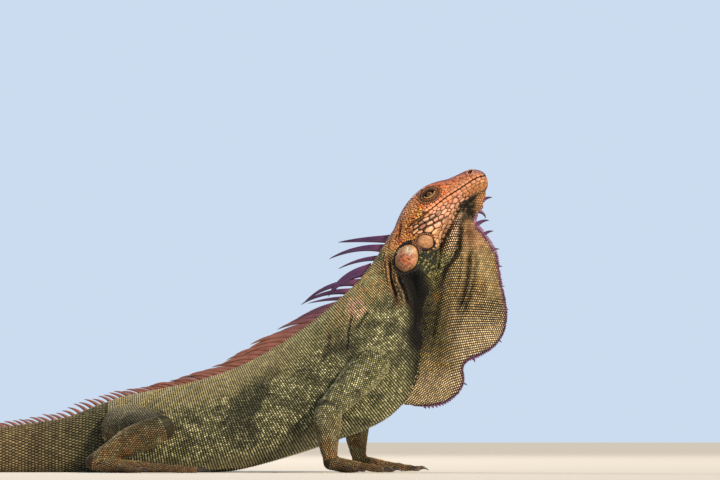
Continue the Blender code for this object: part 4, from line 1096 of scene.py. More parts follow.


# Colours of the living animal, for scales and skin alike
# the darkest tones, for the throat, the hollow by the neck and the creases, are painted shade
tones = {"crown": "#95493A", "crownTop": "#6C3D50", "cheek": "#D87644", "underEye": "#EA8254",
         "snout": "#C08058", "snoutPink": "#D0907A", "noseTip": "#8E6E6C", "pinkLip": "#EE9470",
         "lip": "#CE8A62", "jaw": "#DCA082", "jawLight": "#EDC0A2", "jawTan": "#C89A6E",
         "jawShade": "#9A6448", "chin": "#B07A48", "underJawShade": "#221C15", "lidGold": "#CFA870",
         "lidBrown": "#7A5232", "lidDark": "#3A2516", "temple": "#D07A3C", "templeOlive": "#9A7C38",
         "templeDark": "#7A4022", "templeGold": "#E0A45C", "shieldPink": "#CC8F6C", "shieldPale": "#DCC9AE",
         "shieldRed": "#C4602E", "shieldOchre": "#B98E52", "shieldFleck": "#6E3420", "ringDark": "#1E161C",
         "nape": "#C6A06A", "napeGreen": "#A8A474", "neck": "#86865C", "neckPale": "#D0CCA0",
         "neckDarkAndShade": "#262B1C", "neckBrown": "#A07848", "hollow": "#0C0E0C", "throatPink": "#ECC4A2",
         "throatOlive": "#8C8550", "dewlap": "#C8B07E", "dewlapOrange": "#CE9E72", "dewlapTan": "#F6DEB0",
         "dewlapDark": "#48472C", "dewlapOchre": "#B28A44", "dewlapBrown": "#A0724E",
         "stripOrange": "#CE9460", "edge": "#6C3868", "flank": "#747450", "back": "#9A9068",
         "belly": "#A8A07A", "shed": "#F0C8A6", "creaseShade": "#5C3420", "noseDark": "#5E4048",
         "limb": "#86724A", "limbOrange": "#A5743E", "hand": "#84694A", "tailPale": "#9A8760",
         "tailDark": "#3B332A", "spine": "#3E1E4A", "spinePink": "#8A4A66", "spineBrown": "#8A5844",
         "spineTip": "#2A1434"}
tones = {name: linear(code) for name, code in tones.items()}


def layered(tone, *layers):
    # each layer is a tone's name and how much of it covers what lies below
    for name, share in layers:
        tone = tone + (tones[name] - tone) * np.clip(share, 0, 1)[:, None]
    return tone


def spotsNear(alongs, heights, x, z, radius):
    return smoothStep(1 - np.hypot(alongs - x, heights - z) / radius)


# where the plated jaw ends and the dark throat begins, as the camera sees it: x and z
jawEdge = np.array([(158, 189), (164.5, 190.1), (168.3, 192.3), (172.1, 200.7), (175.2, 207.5), (179, 215.1),
                    (181.5, 220.4), (186, 227.3), (189.8, 232.6), (195.5, 235.4), (203, 239.0),
                    (209.3, 241.5)])


def headTone(points, kinds, draws):
    local, (x, z) = headLocal(points), inPlane(points).T
    forward, out, up = local[:, 0], np.abs(local[:, 1]), local[:, 2]
    streaks, blotch = drift(local, (12, 3.4, 2.2), 1), drift(local, (5, 4, 4), 2)
    flecks = drift(local, (2, 2, 2), 3)
    temple, snout = falling(forward, 2, 14), rising(forward, 14, 14)
    tone = layered(np.tile(tones["cheek"], (len(points), 1)),
        ("templeGold", rising(blotch, 0.55, 0.2) * 0.5),
        ("temple", temple),
        ("templeOlive", temple * rising(streaks, 0.58, 0.14) * 0.5),
        ("templeDark", temple * falling(streaks, 0.42, 0.14) * 0.7),
        ("templeGold", temple * rising(flecks, 0.58, 0.15) * 0.8),
        ("snout", snout),
        ("snoutPink", snout * rising(blotch, 0.5, 0.2) * 0.8),
        ("cheek", snout * falling(streaks, 0.45, 0.2) * 0.7),
        ("underEye", spotsNear(x, z, 170.5, 229.5, 11) * 0.95),
        ("pinkLip", spotsNear(x, z, 164, 223, 10) * 0.9))
    ridge = np.array(headSections)[::-1, :2]
    crown = smoothStep((up - np.interp(forward, ridge[:, 0], ridge[:, 1]) + 6.5 - 1.5 * blotch) / 4)
    tone = layered(tone,
        ("crown", crown * (0.5 + 0.4 * streaks)),
        ("crownTop", crown * falling(out, 15, 8) * 0.7),
        ("noseTip", rising(forward, 45, 6) * smoothStep((up + 2) / 5) * 0.85),
        ("noseDark", rising(forward, 51.5, 3) * 0.8))
    below = mouthHeight(forward) - up
    tone = layered(tone, ("chin", smoothStep(below / 3) * rising(forward, 24, 14) * (0.45 + 0.5 * blotch)))
    for kind, name, share in (("lip", "lip", 0.6), ("jaw", "jaw", 0.95), ("lidEdge", "lidGold", 1),
                              ("lid", "lidBrown", 0.8), ("lidDark", "lidDark", 0.9), ("ring", "ringDark", 1),
                              ("brow", "crown", 0.4), ("nostril", "snoutPink", 0.6)):
        tone = layered(tone, (name, ofKind(kinds, kind) * share))
    # painted shadow of the brow: the upper half of the lid's rim dark
    tone = layered(tone, ("lidDark", ofKind(kinds, "lidEdge") * (up > eyes["place"][2] + 0.2)))
    jaws = ofKind(kinds, "jaw")
    strip = alongPath(np.column_stack((x, z)),
                      [(189, 230), (181, 219), (175, 210), (170, 200), (165.5, 189)])[0]
    tone = layered(tone,
        ("jawTan", smoothStep(1.4 - strip / 4.5) * ofKind(kinds, "fill") * 0.9),
        ("jawLight", jaws * rising(draws[:, 1], 0.3, 0.5) * 0.6),
        ("jawTan", jaws * falling(z, 212, 8) * 0.75),
        ("jawShade", jaws * spotsNear(x, z, 155, 209.5, 6)),
        ("chin", jaws * rising(forward, 24, 8) * 0.8))
    edge = np.interp(x, jawEdge[:, 0], jawEdge[:, 1])
    throat = smoothStep((edge - z - 0.4) / 2.2) * rising(x, 148, 3) * ~jaws
    # painted shade under the jaw: the throat dark, with olive beads showing through
    tone = layered(tone,
        ("neckDarkAndShade", throat),
        ("throatOlive", throat * (draws[:, 2] > 0.66) * falling(x, 184, 8) * (0.4 + 0.5 * draws[:, 1])),
        ("underJawShade", throat * rising(x, 180, 6) * (1 - 0.5 * (draws[:, 2] > 0.72))))
    # only a thin line parts the second plate from the jaw
    closeBy = np.hypot(x - 157.3, z - 195.8) < 11
    tone = layered(tone, ("jawShade", ofKind(kinds, "ring") * closeBy * smoothStep((z - x - 33) / 4) * 0.8))
    tone = tone * (1 - 0.12 * rising(forward, 8, 10) - 0.14 * jaws + 0.14 * temple * (1 - crown))[:, None]
    return tone


# Small scales. Each pattern has points (along, across, height), with the rim below the skin, and triangles.
def beadPattern(turns=6):
    ring = circle(turns) + math.pi / turns
    rim = np.stack((np.cos(ring), np.sin(ring), np.full(turns, -0.35)), 1)
    shoulder = np.stack((np.cos(ring) * 0.8 + 0.05, np.sin(ring) * 0.8, np.full(turns, 0.55)), 1)
    points = np.concatenate((rim, shoulder, [(0.12, 0, 1.0)]))
    return points, domeTriangles(2, turns)


def keelPattern():
    # a pointed scale with a ridge that rises towards its rear
    points = np.array([(-1.0, 0, -0.25), (-0.45, 0.85, -0.25), (0.55, 0.75, -0.05), (1.15, 0, 0.3),
                       (0.55, -0.75, -0.05), (-0.45, -0.85, -0.25), (-0.5, 0, 0.55), (0.7, 0, 1.0)])
    triangles = np.array([(0, 6, 1), (1, 6, 7), (1, 7, 2), (2, 7, 3), (3, 7, 4), (4, 7, 5), (5, 7, 6),
                          (5, 6, 0), (0, 1, 2), (0, 2, 3), (0, 3, 4), (0, 4, 5)])
    return points, triangles[:, ::-1]


patterns = {"bead": beadPattern(), "keel": keelPattern()}


def lattice(surface, start, end, alongPitch, acrossPitch):
    # rows square to the body, each counted out from the middle of a flank, so that slanting rows show there
    steps, half = 500, 32  # how finely a length and half a ring are measured
    fine = np.linspace(start, end, steps)
    flank = (surface(fine, np.full(steps, math.pi / 2)) + surface(fine, np.full(steps, -math.pi / 2))) / 2
    walked = walkedAlong(flank) * 1000
    rows = int(walked[-1] / alongPitch)
    places, angles = [], []
    turn = np.linspace(0, math.pi, 2 * half + 1)
    for row in range(rows):
        place = np.interp((row + 0.5) * alongPitch, walked, fine)
        for side in (1, -1):
            line = surface(np.full(len(turn), place), turn * side)
            length = walkedAlong(line) * 1000
            at = length[half] + (np.arange(-200, 200) + 0.5 * (row % 2)) * acrossPitch
            at = at[(at > acrossPitch * 0.3) & (at < length[-1] - acrossPitch * 0.3)]
            angles.append(np.interp(at, length, turn) * side)
            places.append(np.full(len(at), place))
    return np.concatenate(places), np.concatenate(angles)


coat = {}  # every small scale, by group
taken = []  # where a scale sits already


def thinned(spots, least):
    # drops scales that stand closer than least to one kept before, as where rows crowd in a bend
    grid, kept = {}, np.zeros(len(spots), bool)
    for k, spot in enumerate(spots.tolist()):
        mine = cellOf(spot, least)
        if all(math.dist(spot, row) > least for row in beside(grid, mine)):
            grid.setdefault(mine, []).append(spot)
            kept[k] = True
    return kept


def settle(name, surface, places, angles, tolerance, spread, pitch, size, pattern="bead"):
    # puts scales on the skin, dropping those whose place lies inside another part or on another scale
    points = surface(places, angles)
    spots, normals, gaps = onSkin(points)
    good = gaps < tolerance
    tree, reach = treeOf(*taken), pitch * spread * 0.001
    good &= np.array([tree.find(row)[2] > reach for row in spots.tolist()])
    good[good] = thinned(spots[good], 0.64 * pitch * 0.001)
    along = surface(places + 0.02, angles) - points
    along = unit(along - normals * np.sum(along * normals, axis=1, keepdims=True))
    coat[name] = {"spots": spots[good], "normals": normals[good], "along": along[good], "pattern": pattern,
                  "places": places[good], "angles": angles[good],
                  "size": np.array(size)[None] * np.ones((good.sum(), 1)),
                  "uv": np.stack((places[good], angles[good]), 1)}
    taken.append(spots[good])


def dewlapLattice():
    # rows that run nearly level across the fan, lift towards its lower edge and drop towards the neck
    spots, ways = [], []
    rowPitch, beadPitch = 2.1, 1.75
    x = np.arange(110, 240, 0.25)
    for row in range(-24, 130):
        z = 45 + row * rowPitch
        lower, rear = falling(z, 150, 80), np.maximum(180 - x, 0)
        height = (z + (x - 195) * 0.34 * lower - 0.0022 * (x - 185)**2 * (1 - lower)
                  - rear**2 / (rear + 9) * 0.72)
        walked = np.concatenate(([0], np.cumsum(np.hypot(0.25, np.diff(height)))))
        at = np.arange(0.5 * (row % 2) + 0.3, walked[-1] / beadPitch) * beadPitch
        slope = np.interp(at, walked, np.gradient(height, x))
        spots.append(np.stack((np.interp(at, walked, x), np.interp(at, walked, height)), 1))
        ways.append(np.stack((np.ones(len(at)), slope), 1))
    return np.concatenate(spots), np.concatenate(ways)


def coverDewlap():
    flat, ways = dewlapLattice()
    # inside the fan: between the rays' roots and edges
    places = np.linspace(0, len(dewlapRays) - 1, 400)
    rays = rowsAt(dewlapRays, places)
    outline = np.concatenate((rays[:, :2], rays[::-1, 2:4]))
    inside = np.zeros(len(flat), bool)
    for (x1, z1), (x2, z2) in zip(outline, np.roll(outline, -1, axis=0)):
        crosses = ((z1 > flat[:, 1]) != (z2 > flat[:, 1]))
        at = (x2 - x1) * (flat[:, 1] - z1) / (z2 - z1 if z2 != z1 else 1e-9) + x1
        inside ^= crosses & (flat[:, 0] < at)
    flat, ways = flat[inside], ways[inside]
    for side, name in ((-1, "right"), (1, "left")):
        middle = posed(np.column_stack((flat[:, 0], np.zeros(len(flat)), flat[:, 1])) * 0.001)
        starts = middle + (0, side * 0.05, 0)
        found = [skinTree.ray_cast(start, (0, -side, 0)) for start in starts.tolist()]
        good = np.array([row[0] is not None and abs(row[0][1] - m[1]) < 0.0125 and abs(row[1][1]) > 0.3
                         for row, m in zip(found, middle)])
        spots, normals, _ = onSkin(np.array([row[0] for row, fine in zip(found, good) if fine]))
        along = np.column_stack((ways[good, 0], np.zeros(good.sum()), ways[good, 1]))
        along = unit(along - normals * np.sum(along * normals, axis=1, keepdims=True))
        coat["dewlap_" + name] = {
            "spots": spots, "normals": normals, "along": along, "pattern": "bead",
            "places": flat[good, 0], "angles": flat[good, 1],
            "size": np.array((0.80, 0.72, 0.6)) * np.column_stack(
                (np.ones(good.sum()), 1 / np.hypot(1, ways[good, 1])**0.7, np.ones(good.sum()))),
            "uv": flat[good],
        }
        taken.append(spots)


taken.append(headSeeds["spots"])
coverDewlap()
report("dewlap covered")

places, angles = lattice(bodyPoint, headEnd - 1.5, torsoEnd, 2.1, 1.6)
neckRows = places < headEnd + 5
for part, rows, tolerance, size in (("neck_", neckRows, 0.0065, (0.86, 0.74, 0.6)),
                                    ("trunk_", ~neckRows, 0.004, (0.90, 0.75, 0.55))):
    for side, name in ((-1, "right"), (1, "left")):
        pick = rows & (angles * side > 0)
        settle(part + name, bodyPoint, places[pick], angles[pick], tolerance, 0.50, 1.85, size)
for name, surface, last, _ in limbParts():
    if name.startswith("limb"):
        places, angles = lattice(surface, 0, last, 1.8, 2.0)
        settle(name, surface, places, angles, 0.0035, 0.62, 1.9, (1.1, 1.0, 0.45), "keel")
    else:
        places, angles = lattice(surface, 0, last, 1.7, 1.7)
        settle(name, surface, places, angles, 0.002, 0.6, 1.7, (1.05, 0.85, 0.35), "keel")
places, angles = lattice(bodyPoint, torsoEnd, tailEnd - 3, 2.9, 2.5)
settle("tail", bodyPoint, places, angles, 0.0035, 0.62, 2.6, (1.7, 1.2, 0.6), "keel")
places, angles = lattice(bodyPoint, tailEnd - 3, tailEnd - 0.2, 2.2, 1.7)
settle("tail_tip", bodyPoint, places, angles, 0.002, 0.62, 1.8, (1.3, 0.85, 0.4), "keel")
report("scales settled")


# Materials
def addNode(tree, kind, links=None, **settings):
    # settings name the node's own properties or, if it has none of that name, its sockets
    node = tree.nodes.new(kind)
    for name, value in settings.items():
        if hasattr(node, name):
            setattr(node, name, value)
        else:
            node.inputs[name.replace("_", " ")].default_value = value
    for socket, source in (links or {}).items():
        tree.links.new(source, node.inputs[socket])
    return node


def emptyTree(owner):
    owner.use_nodes = True
    owner.node_tree.nodes.clear()
    return owner.node_tree


def scalyMaterial(name, look):
    # look: sizes of mottle and grain in millimetres, how dark the furrows are, how much lighter the crowns
    # are, partly wear and partly a painted highlight
    made = bpy.data.materials.new(name)
    tree = emptyTree(made)
    place = addNode(tree, "ShaderNodeTexCoord").outputs["Object"]
    tone = addNode(tree, "ShaderNodeAttribute", attribute_name="tone").outputs["Color"]
    rise = addNode(tree, "ShaderNodeAttribute", attribute_name="rise").outputs["Fac"]
    mottle = addNode(tree, "ShaderNodeTexNoise", {"Vector": place}, Scale=1000 / look["mottle"], Detail=3.0)
    grain = addNode(tree, "ShaderNodeTexNoise", {"Vector": place}, Scale=1000 / look["grain"], Detail=4.0)
    value = addNode(tree, "ShaderNodeMapRange", {"Value": mottle.outputs["Fac"]}, From_Min=0.3, From_Max=0.7,
                    To_Min=1 - look["patchy"], To_Max=1 + look["patchy"])
    furrow = addNode(tree, "ShaderNodeMapRange", {"Value": rise}, From_Min=0.0, From_Max=0.8,
                     To_Min=look["furrow"], To_Max=1.0, interpolation_type="SMOOTHSTEP")
    both = addNode(tree, "ShaderNodeMath", {0: value.outputs[0], 1: furrow.outputs[0]}, operation="MULTIPLY")
    colour = addNode(tree, "ShaderNodeVectorMath", {0: tone, "Scale": both.outputs[0]}, operation="SCALE")
    # the crowns lighter: partly worn keratin, partly a painted highlight
    crownMask = addNode(tree, "ShaderNodeMath", {0: rise, 1: grain.outputs["Fac"]}, operation="MULTIPLY")
    wornAndLit = addNode(tree, "ShaderNodeMapRange", {"Value": crownMask.outputs[0]}, From_Min=0.42, From_Max=0.75,
                   To_Min=1.0, To_Max=1 + look["wearAndHighlight"])
    colour = addNode(tree, "ShaderNodeVectorMath", {0: colour.outputs[0], "Scale": wornAndLit.outputs[0]},
                     operation="SCALE")
    rough = addNode(tree, "ShaderNodeMapRange", {"Value": grain.outputs["Fac"]}, From_Min=0.3, From_Max=0.7,
                    To_Min=look["rough"] - 0.07, To_Max=look["rough"] + 0.09)
    bump = addNode(tree, "ShaderNodeBump", {"Height": grain.outputs["Fac"]}, Strength=look["bump"],
                   Distance=look["grain"] * 0.0004)
    looks = {"Base Color": colour.outputs[0], "Roughness": rough.outputs[0], "Normal": bump.outputs[0]}
    shader = addNode(tree, "ShaderNodeBsdfPrincipled", looks, IOR=1.54, Specular_IOR_Level=look["gloss"],
                     Coat_Weight=look["sheen"], Coat_Roughness=0.35)
    addNode(tree, "ShaderNodeOutputMaterial", {"Surface": shader.outputs[0]})
    return made


# Keratin scales, dry and slightly polished by wear: satin, dark in the furrows, lighter on the crowns, partly
# worn and partly a painted highlight
keratinPlates = scalyMaterial("keratinPlates", {"mottle": 3.2, "grain": 0.45, "patchy": 0.26, "furrow": 0.14,
                              "wearAndHighlight": 0.45, "rough": 0.48, "bump": 0.35, "sheen": 0.04, "gloss": 0.36})
keratinBeads = scalyMaterial("keratinBeads", {"mottle": 7.0, "grain": 0.5, "patchy": 0.24, "furrow": 0.12,
                             "wearAndHighlight": 0.75, "rough": 0.48, "bump": 0.25, "sheen": 0.0, "gloss": 0.28})
# Soft hide between the scales: matt and dark, with the scales' own markings
bareHide = scalyMaterial("bareHide", {"mottle": 5.0, "grain": 0.6, "patchy": 0.15, "furrow": 1.0,
                         "wearAndHighlight": 0.0, "rough": 0.66, "bump": 0.5, "sheen": 0.0, "gloss": 0.2})
# Keratin spines: tough translucent horn, smooth along its length
keratinSpines = scalyMaterial("keratinSpines", {"mottle": 9.0, "grain": 0.8, "patchy": 0.18, "furrow": 0.75,
                              "wearAndHighlight": 0.10, "rough": 0.38, "bump": 0.25, "sheen": 0.15, "gloss": 0.5})
# Claw horn: dark, dense and worn smooth at the tip
clawHorn = scalyMaterial("clawHorn", {"mottle": 4.0, "grain": 0.7, "patchy": 0.25, "furrow": 0.8,
                         "wearAndHighlight": 0.2, "rough": 0.30, "bump": 0.2, "sheen": 0.25, "gloss": 0.5})


def setAttribute(item, name, kind, values):
    # one value for each vertex
    field = {"FLOAT": "value", "FLOAT_VECTOR": "vector", "FLOAT_COLOR": "color"}[kind]
    attribute = item.data.attributes.new(name, kind, "POINT")
    attribute.data.foreach_set(field, np.asarray(values, np.float32).ravel())


def setAttributes(item, tone, rise):
    setAttribute(item, "tone", "FLOAT_COLOR", np.column_stack((tone, np.ones(len(tone)))))
    setAttribute(item, "rise", "FLOAT", np.broadcast_to(rise, len(tone)))


def setBakeMap(item, uv):
    # uv: one place for each vertex
    layer = item.data.uv_layers.new(name="OFBake")
    corners = np.empty(len(item.data.loops), np.int32)
    item.data.loops.foreach_get("vertex_index", corners)
    layer.data.foreach_set("uv", uv[corners].astype(np.float32).ravel())


def finishPiece(item, material, nodes):
    item.data.materials.clear()
    item.data.materials.append(material)
    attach(item, "root")
    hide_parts(*nodes)


skinTones = {"spots": [], "tones": []}  # what paintSkin takes the hide's tone from
bakePatch = 0.003  # a scale's width on the bake's map


def spreadUv(uv, cell, cells):
    # a piece's groups side by side, each normalised to its own square
    low, high = uv.min(axis=0), uv.max(axis=0)
    flat = (uv - low) / np.maximum(high - low, 1e-9)
    return (flat * 0.94 + 0.03 + (cell % cells, cell // cells)) / cells


def foldLightAndShade(points, normals):
    # painted shade in the folds' furrows and painted light on their ridges
    lift, bend = foldLift(points, normals)
    return 1 + np.clip((lift + bend * np.sign(points[:, 1])) * 1000 * 0.17, -0.72, 0.22)[:, None]


bigPlate = 1.55  # plates above this radius follow the skin ring by ring


def makeHeadPlates():
    draws = rng.random((len(headSeeds["spots"]), 4))
    tone = headTone(headSeeds["spots"], headSeeds["kind"], draws)
    # each plate's tone carries the folds' painted shade and painted light
    tone = tone * (0.80 + 0.36 * draws[:, 3:4]) * foldLightAndShade(headSeeds["spots"], headSeeds["normals"])
    skinTones["spots"].append(headSeeds["spots"])
    skinTones["tones"].append(tone)
    local = headLocal(headSeeds["spots"])
    smooth = 0.42 * rising(local[:, 0], 4, 14) * ~ofKind(headSeeds["kind"], "jaw")
    root = np.stack((np.arctan2(local[:, 1], local[:, 2] + 8 + local[:, 0] * 0.15) / (2 * math.pi) + 0.5,
                     (local[:, 0] + 65) / 125), 1)
    isBig = headSeeds["radii"].max(axis=1) > bigPlate
    big, small = np.where(isBig)[0], np.where(~isBig)[0]
    looks = (("plates_head", big, 14, ((1.0, -0.35), (0.97, 0.45), (0.88, 0.84), (0.62, 0.98)), True),
             ("granules_head", small, 10, ((1.0, -0.3), (0.90, 0.5), (0.62, 0.88)), False))
    for name, pick, turns, rings, onto in looks:
        points, triangles, height, flat, each = buildPlates(pick, turns, rings, onto)
        item = makeMesh(name, points, triangles)
        soft = np.repeat(smooth[pick], each)
        # painted shade along the cheek's creases
        crease = smoothStep(1.25 - gapTo(inPlane(points), "cheek") / 1.1)
        shaded = np.repeat(tone[pick], each, axis=0) * (1 - 0.78 * crease)[:, None]
        setAttributes(item, shaded, soft + (1 - soft) * height)
        setBakeMap(item, np.repeat(root[pick], each, axis=0) * 0.96 + 0.02 + flat * bakePatch / 2)
        finishPiece(item, keratinPlates, ["head"])


def makeCoat(name, groups, nodes, toneOf):
    allPoints, allTriangles, allTones, allRise, allUv, start = [], [], [], [], [], 0
    cells = math.ceil(math.sqrt(len(groups)))
    for order, group in enumerate(groups):
        rows = coat[group]
        count = len(rows["spots"])
        draws = rng.random((count, 6))
        pattern, triangles = patterns[rows["pattern"]]
        each = len(pattern)
        size = rows["size"] * (0.92 + 0.16 * draws[:, :3]) * 0.001
        frames = (rows["along"], np.cross(rows["normals"], rows["along"]), rows["normals"])
        points = rows["spots"][:, None] + sum(
            frame[:, None] * (pattern[None, :, k, None] * size[:, None, k, None])
            for k, frame in enumerate(frames))
        # each scale's tone carries the folds' painted shade and painted light
        tone = toneOf(rows, draws) * (0.64 + 0.74 * draws[:, 4:5]) * foldLightAndShade(rows["spots"], rows["normals"])
        allPoints.append(points.reshape(-1, 3))
        allTriangles.append(copies(triangles, count, each) + start)
        allTones.append(np.repeat(tone, each, axis=0))
        allRise.append(np.tile(np.clip(pattern[:, 2], 0, 1), count))
        patch = np.tile(pattern[:, :2], (count, 1)) * bakePatch / 2
        allUv.append(np.repeat(spreadUv(rows["uv"], order, cells), each, axis=0) + patch)
        skinTones["spots"].append(rows["spots"])
        skinTones["tones"].append(tone)
        start += count * each
    points = np.concatenate(allPoints)
    points[:, 2] = np.maximum(points[:, 2], 0.0001)
    item = makeMesh(name, points, np.concatenate(allTriangles))
    setAttributes(item, np.concatenate(allTones), np.concatenate(allRise))
    setBakeMap(item, np.concatenate(allUv))
    finishPiece(item, keratinBeads, nodes)


def throatTone(tone, plane):
    # the ridge behind the jaw, pink above and olive where it runs down the neck, and painted shade in the
    # furrow before it
    z = plane[:, 1]
    ridge = smoothStep(1.3 - gapTo(plane, "throatRidge") / (2.4 + 4.6 * falling(z, 218, 18)))
    return layered(tone,
        ("throatOlive", ridge * falling(z, 196, 14) * rising(z, 148, 20) * 0.8),
        ("throatPink", ridge * rising(z, 176, 20) * falling(z, 222, 6)),
        ("underJawShade", smoothStep(1.2 - gapTo(plane, "throatFurrow") / 2.8) * 0.75))


def dewlapTone(rows, draws):
    x, z = rows["uv"].T
    edge = rowsAt(dewlapRays, np.linspace(0, len(dewlapRays) - 1, 300))[:, 2:4]
    rim = np.min(np.hypot(x[:, None] - edge[:, 0], z[:, None] - edge[:, 1]), axis=1)
    patches = drift(rows["spots"] * 1000, (9, 9, 7), 6)
    tone = np.tile(tones["dewlap"], (len(x), 1))
    tone = layered(tone,
        ("dewlapOchre", rising(patches, 0.45, 0.25) * 0.5),
        ("dewlapDark", falling(x, 184, 16) * rising(z, 92, 20) * 0.8),
        # painted shade where the fan meets the neck
        ("neckDarkAndShade", falling(x, 170, 10) * rising(z, 96, 20) * 0.5),
        ("throatOlive", falling(x, 178, 8) * (draws[:, 2] > 0.62) * 0.7),
        ("dewlapTan", falling(z, 150, 40) * rising(x, 176, 14)),
        ("dewlapOrange", rising(z, 178, 22) * rising(x, 186, 8) * 0.9),
        ("dewlapOchre", spotsNear(x, z, 168, 149, 7) * 0.9),
        ("dewlapBrown", spotsNear(x, z, 196, 203, 12) * 0.75),
        # painted shade in the band under the jaw
        ("underJawShade", rising(z, 209, 8) * falling(x, 203, 5) * (1 - 0.22 * (draws[:, 2] > 0.7))),
        ("stripOrange", rising(z, 212, 8) * rising(x, 200.5, 4)))
    tone = throatTone(tone, np.column_stack((x, z)))
    return layered(tone,
        ("dewlapTan", falling(z, 92, 16) * 0.8),
        ("edge", falling(rim, 3.6, 2.4) * falling(z, 214, 10) * 0.95),
        ("shieldPale", spotsNear(x, z, 213, 196, 5) * 0.5))


def bodyTone(rows, draws):
    # neck, trunk and limbs share one set of markings, so that none of them reads as a separate piece
    spots = rows["spots"]
    plane = inPlane(spots)
    x, z = plane.T
    patches, flecks = drift(spots * 1000, (13, 16, 10), 7), drift(spots * 1000, (4, 5, 3.5), 8)
    back, belly = family[::-1, :3] * 1000, family[::-1, 3:6] * 1000
    top, floor = np.interp(x, back[:, 0], back[:, 2]), np.interp(x, belly[:, 0], belly[:, 2])
    high = (z - floor) / np.maximum(top - floor, 1)
    tone = np.tile(tones["neck"], (len(spots), 1))
    tone = layered(tone,
        ("flank", falling(x, 96, 30)),
        ("neckPale", rising(draws[:, 0], 0.45, 0.3) * (0.3 + 0.6 * flecks)),
        ("neckDarkAndShade", falling(patches, 0.5, 0.25) * 0.55))
    upper = rising(high, 0.62, 0.25)
    tone = layered(tone,
        ("napeGreen", upper * 0.6),
        ("nape", upper * rising(x, 60, 40) * rising(flecks, 0.35, 0.3) * 0.8),
        ("back", upper * falling(x, 70, 40) * 0.8),
        ("belly", falling(high, 0.22, 0.2) * falling(x, 90, 40) * 0.85))
    bars = smoothStep((np.sin(x / 13.5 + np.sin(z / 21) * 0.8 + patches * 1.5) - 0.35) / 0.4)
    tone = layered(tone,
        ("neckDarkAndShade", bars * rising(high, 0.2, 0.2) * falling(high, 0.9, 0.2) * falling(x, 74, 20) * 0.7),
        ("neckBrown", spotsNear(x, z, 125, 172, 22) * rising(flecks, 0.3, 0.3) * 0.9))
    # painted shade in the neck's creases
    crease = smoothStep(1.2 - gapTo(plane, "neckCrease") / 4)
    tone = layered(tone,
        ("creaseShade", crease * rising(x, 118, 6) * 0.8),
        ("templeOlive", spotsNear(x, z, 122, 190, 16) * 0.6),
        ("nape", spotsNear(x, z, 129, 197, 15) * 0.95),
        # painted shade below the shield by the dewlap, and low on the shoulder
        ("neckDarkAndShade", rising(x, 140, 10) * falling(z, 180, 12) * 0.85),
        ("neckDarkAndShade", spotsNear(x, z, 92, 108, 30) * 0.6),
        ("neckPale", spotsNear(x, z, 158, 182, 8) * (draws[:, 3] > 0.6) * 0.6))
    tone = throatTone(tone, plane)
    wide = 10.5 + 3.5 * rising(z, 148, 12)
    # painted shade: near black in the hollow below the shield
    tone = layered(tone,
        ("hollow", smoothStep(1.35 - gapTo(plane, "hollow") / wide)),
        # painted light: the neck's ridges paler, as if lit
        ("nape", smoothStep(1.25 - gapTo(plane, "neckRidge") / 2.4) * 0.4))
    tone = tone * (1.22 - 0.34 * rising(x, 132, 14))[:, None]
    return layered(tone, ("shed", spotsNear(x, z, 99, 139, 12) * 1.8 * rising(flecks, 0.2, 0.15)))


def limbTone(rows, draws):
    spots = rows["spots"]
    tone = bodyTone(rows, draws)
    patches = drift(spots * 1000, (9, 9, 9), 9)
    return layered(tone,
        ("limb", falling(spots[:, 2], 0.070, 0.06) * (0.45 + 0.5 * patches)),
        ("limbOrange", falling(spots[:, 2], 0.05, 0.04) * rising(patches, 0.35, 0.3) * 0.6),
        ("hand", falling(spots[:, 2], 0.014, 0.01) * 0.8))


def tailTone(rows, draws):
    spots, angle = rows["spots"], np.abs(rows["angles"])
    along = rows["places"] - torsoEnd
    tone = np.tile(tones["tailPale"], (len(spots), 1))
    bands = smoothStep((np.sin(along * 2 * math.pi / 1.5 + np.sin(angle * 2) * 0.25) + 0.1) / 0.4)
    return layered(tone,
        ("tailDark", bands * rising(along, 0.8, 3.2) * 0.92),
        ("flank", falling(along, 3, 3) * 0.85),
        ("belly", rising(angle, 2.5, 0.5) * 0.4))


makeHeadPlates()
makeCoat("scales_dewlap", ["dewlap_right", "dewlap_left"], ["dewlap"], dewlapTone)
for part, node in (("neck", "neck"), ("trunk", "torso")):
    for side in ("right", "left"):
        makeCoat(f"scales_{part}_{side}", [f"{part}_{side}"], [node], bodyTone)
limbNames = {"fore": ("upper_arm", "forearm", "hand"), "hind": ("thigh", "shin", "foot")}
for kind in ("fore", "hind"):
    groups = [name for name in coat if f"_{kind}_" in name and len(coat[name]["spots"])]
    nodes = [f"{name}_{side}" for name in limbNames[kind] for side in ("left", "right")]
    makeCoat(f"scales_{kind}_limbs", groups, nodes, limbTone)
makeCoat("scales_tail", ["tail", "tail_tip"], [f"tail_{k}" for k in range(1, 6)], tailTone)
report("coat made")


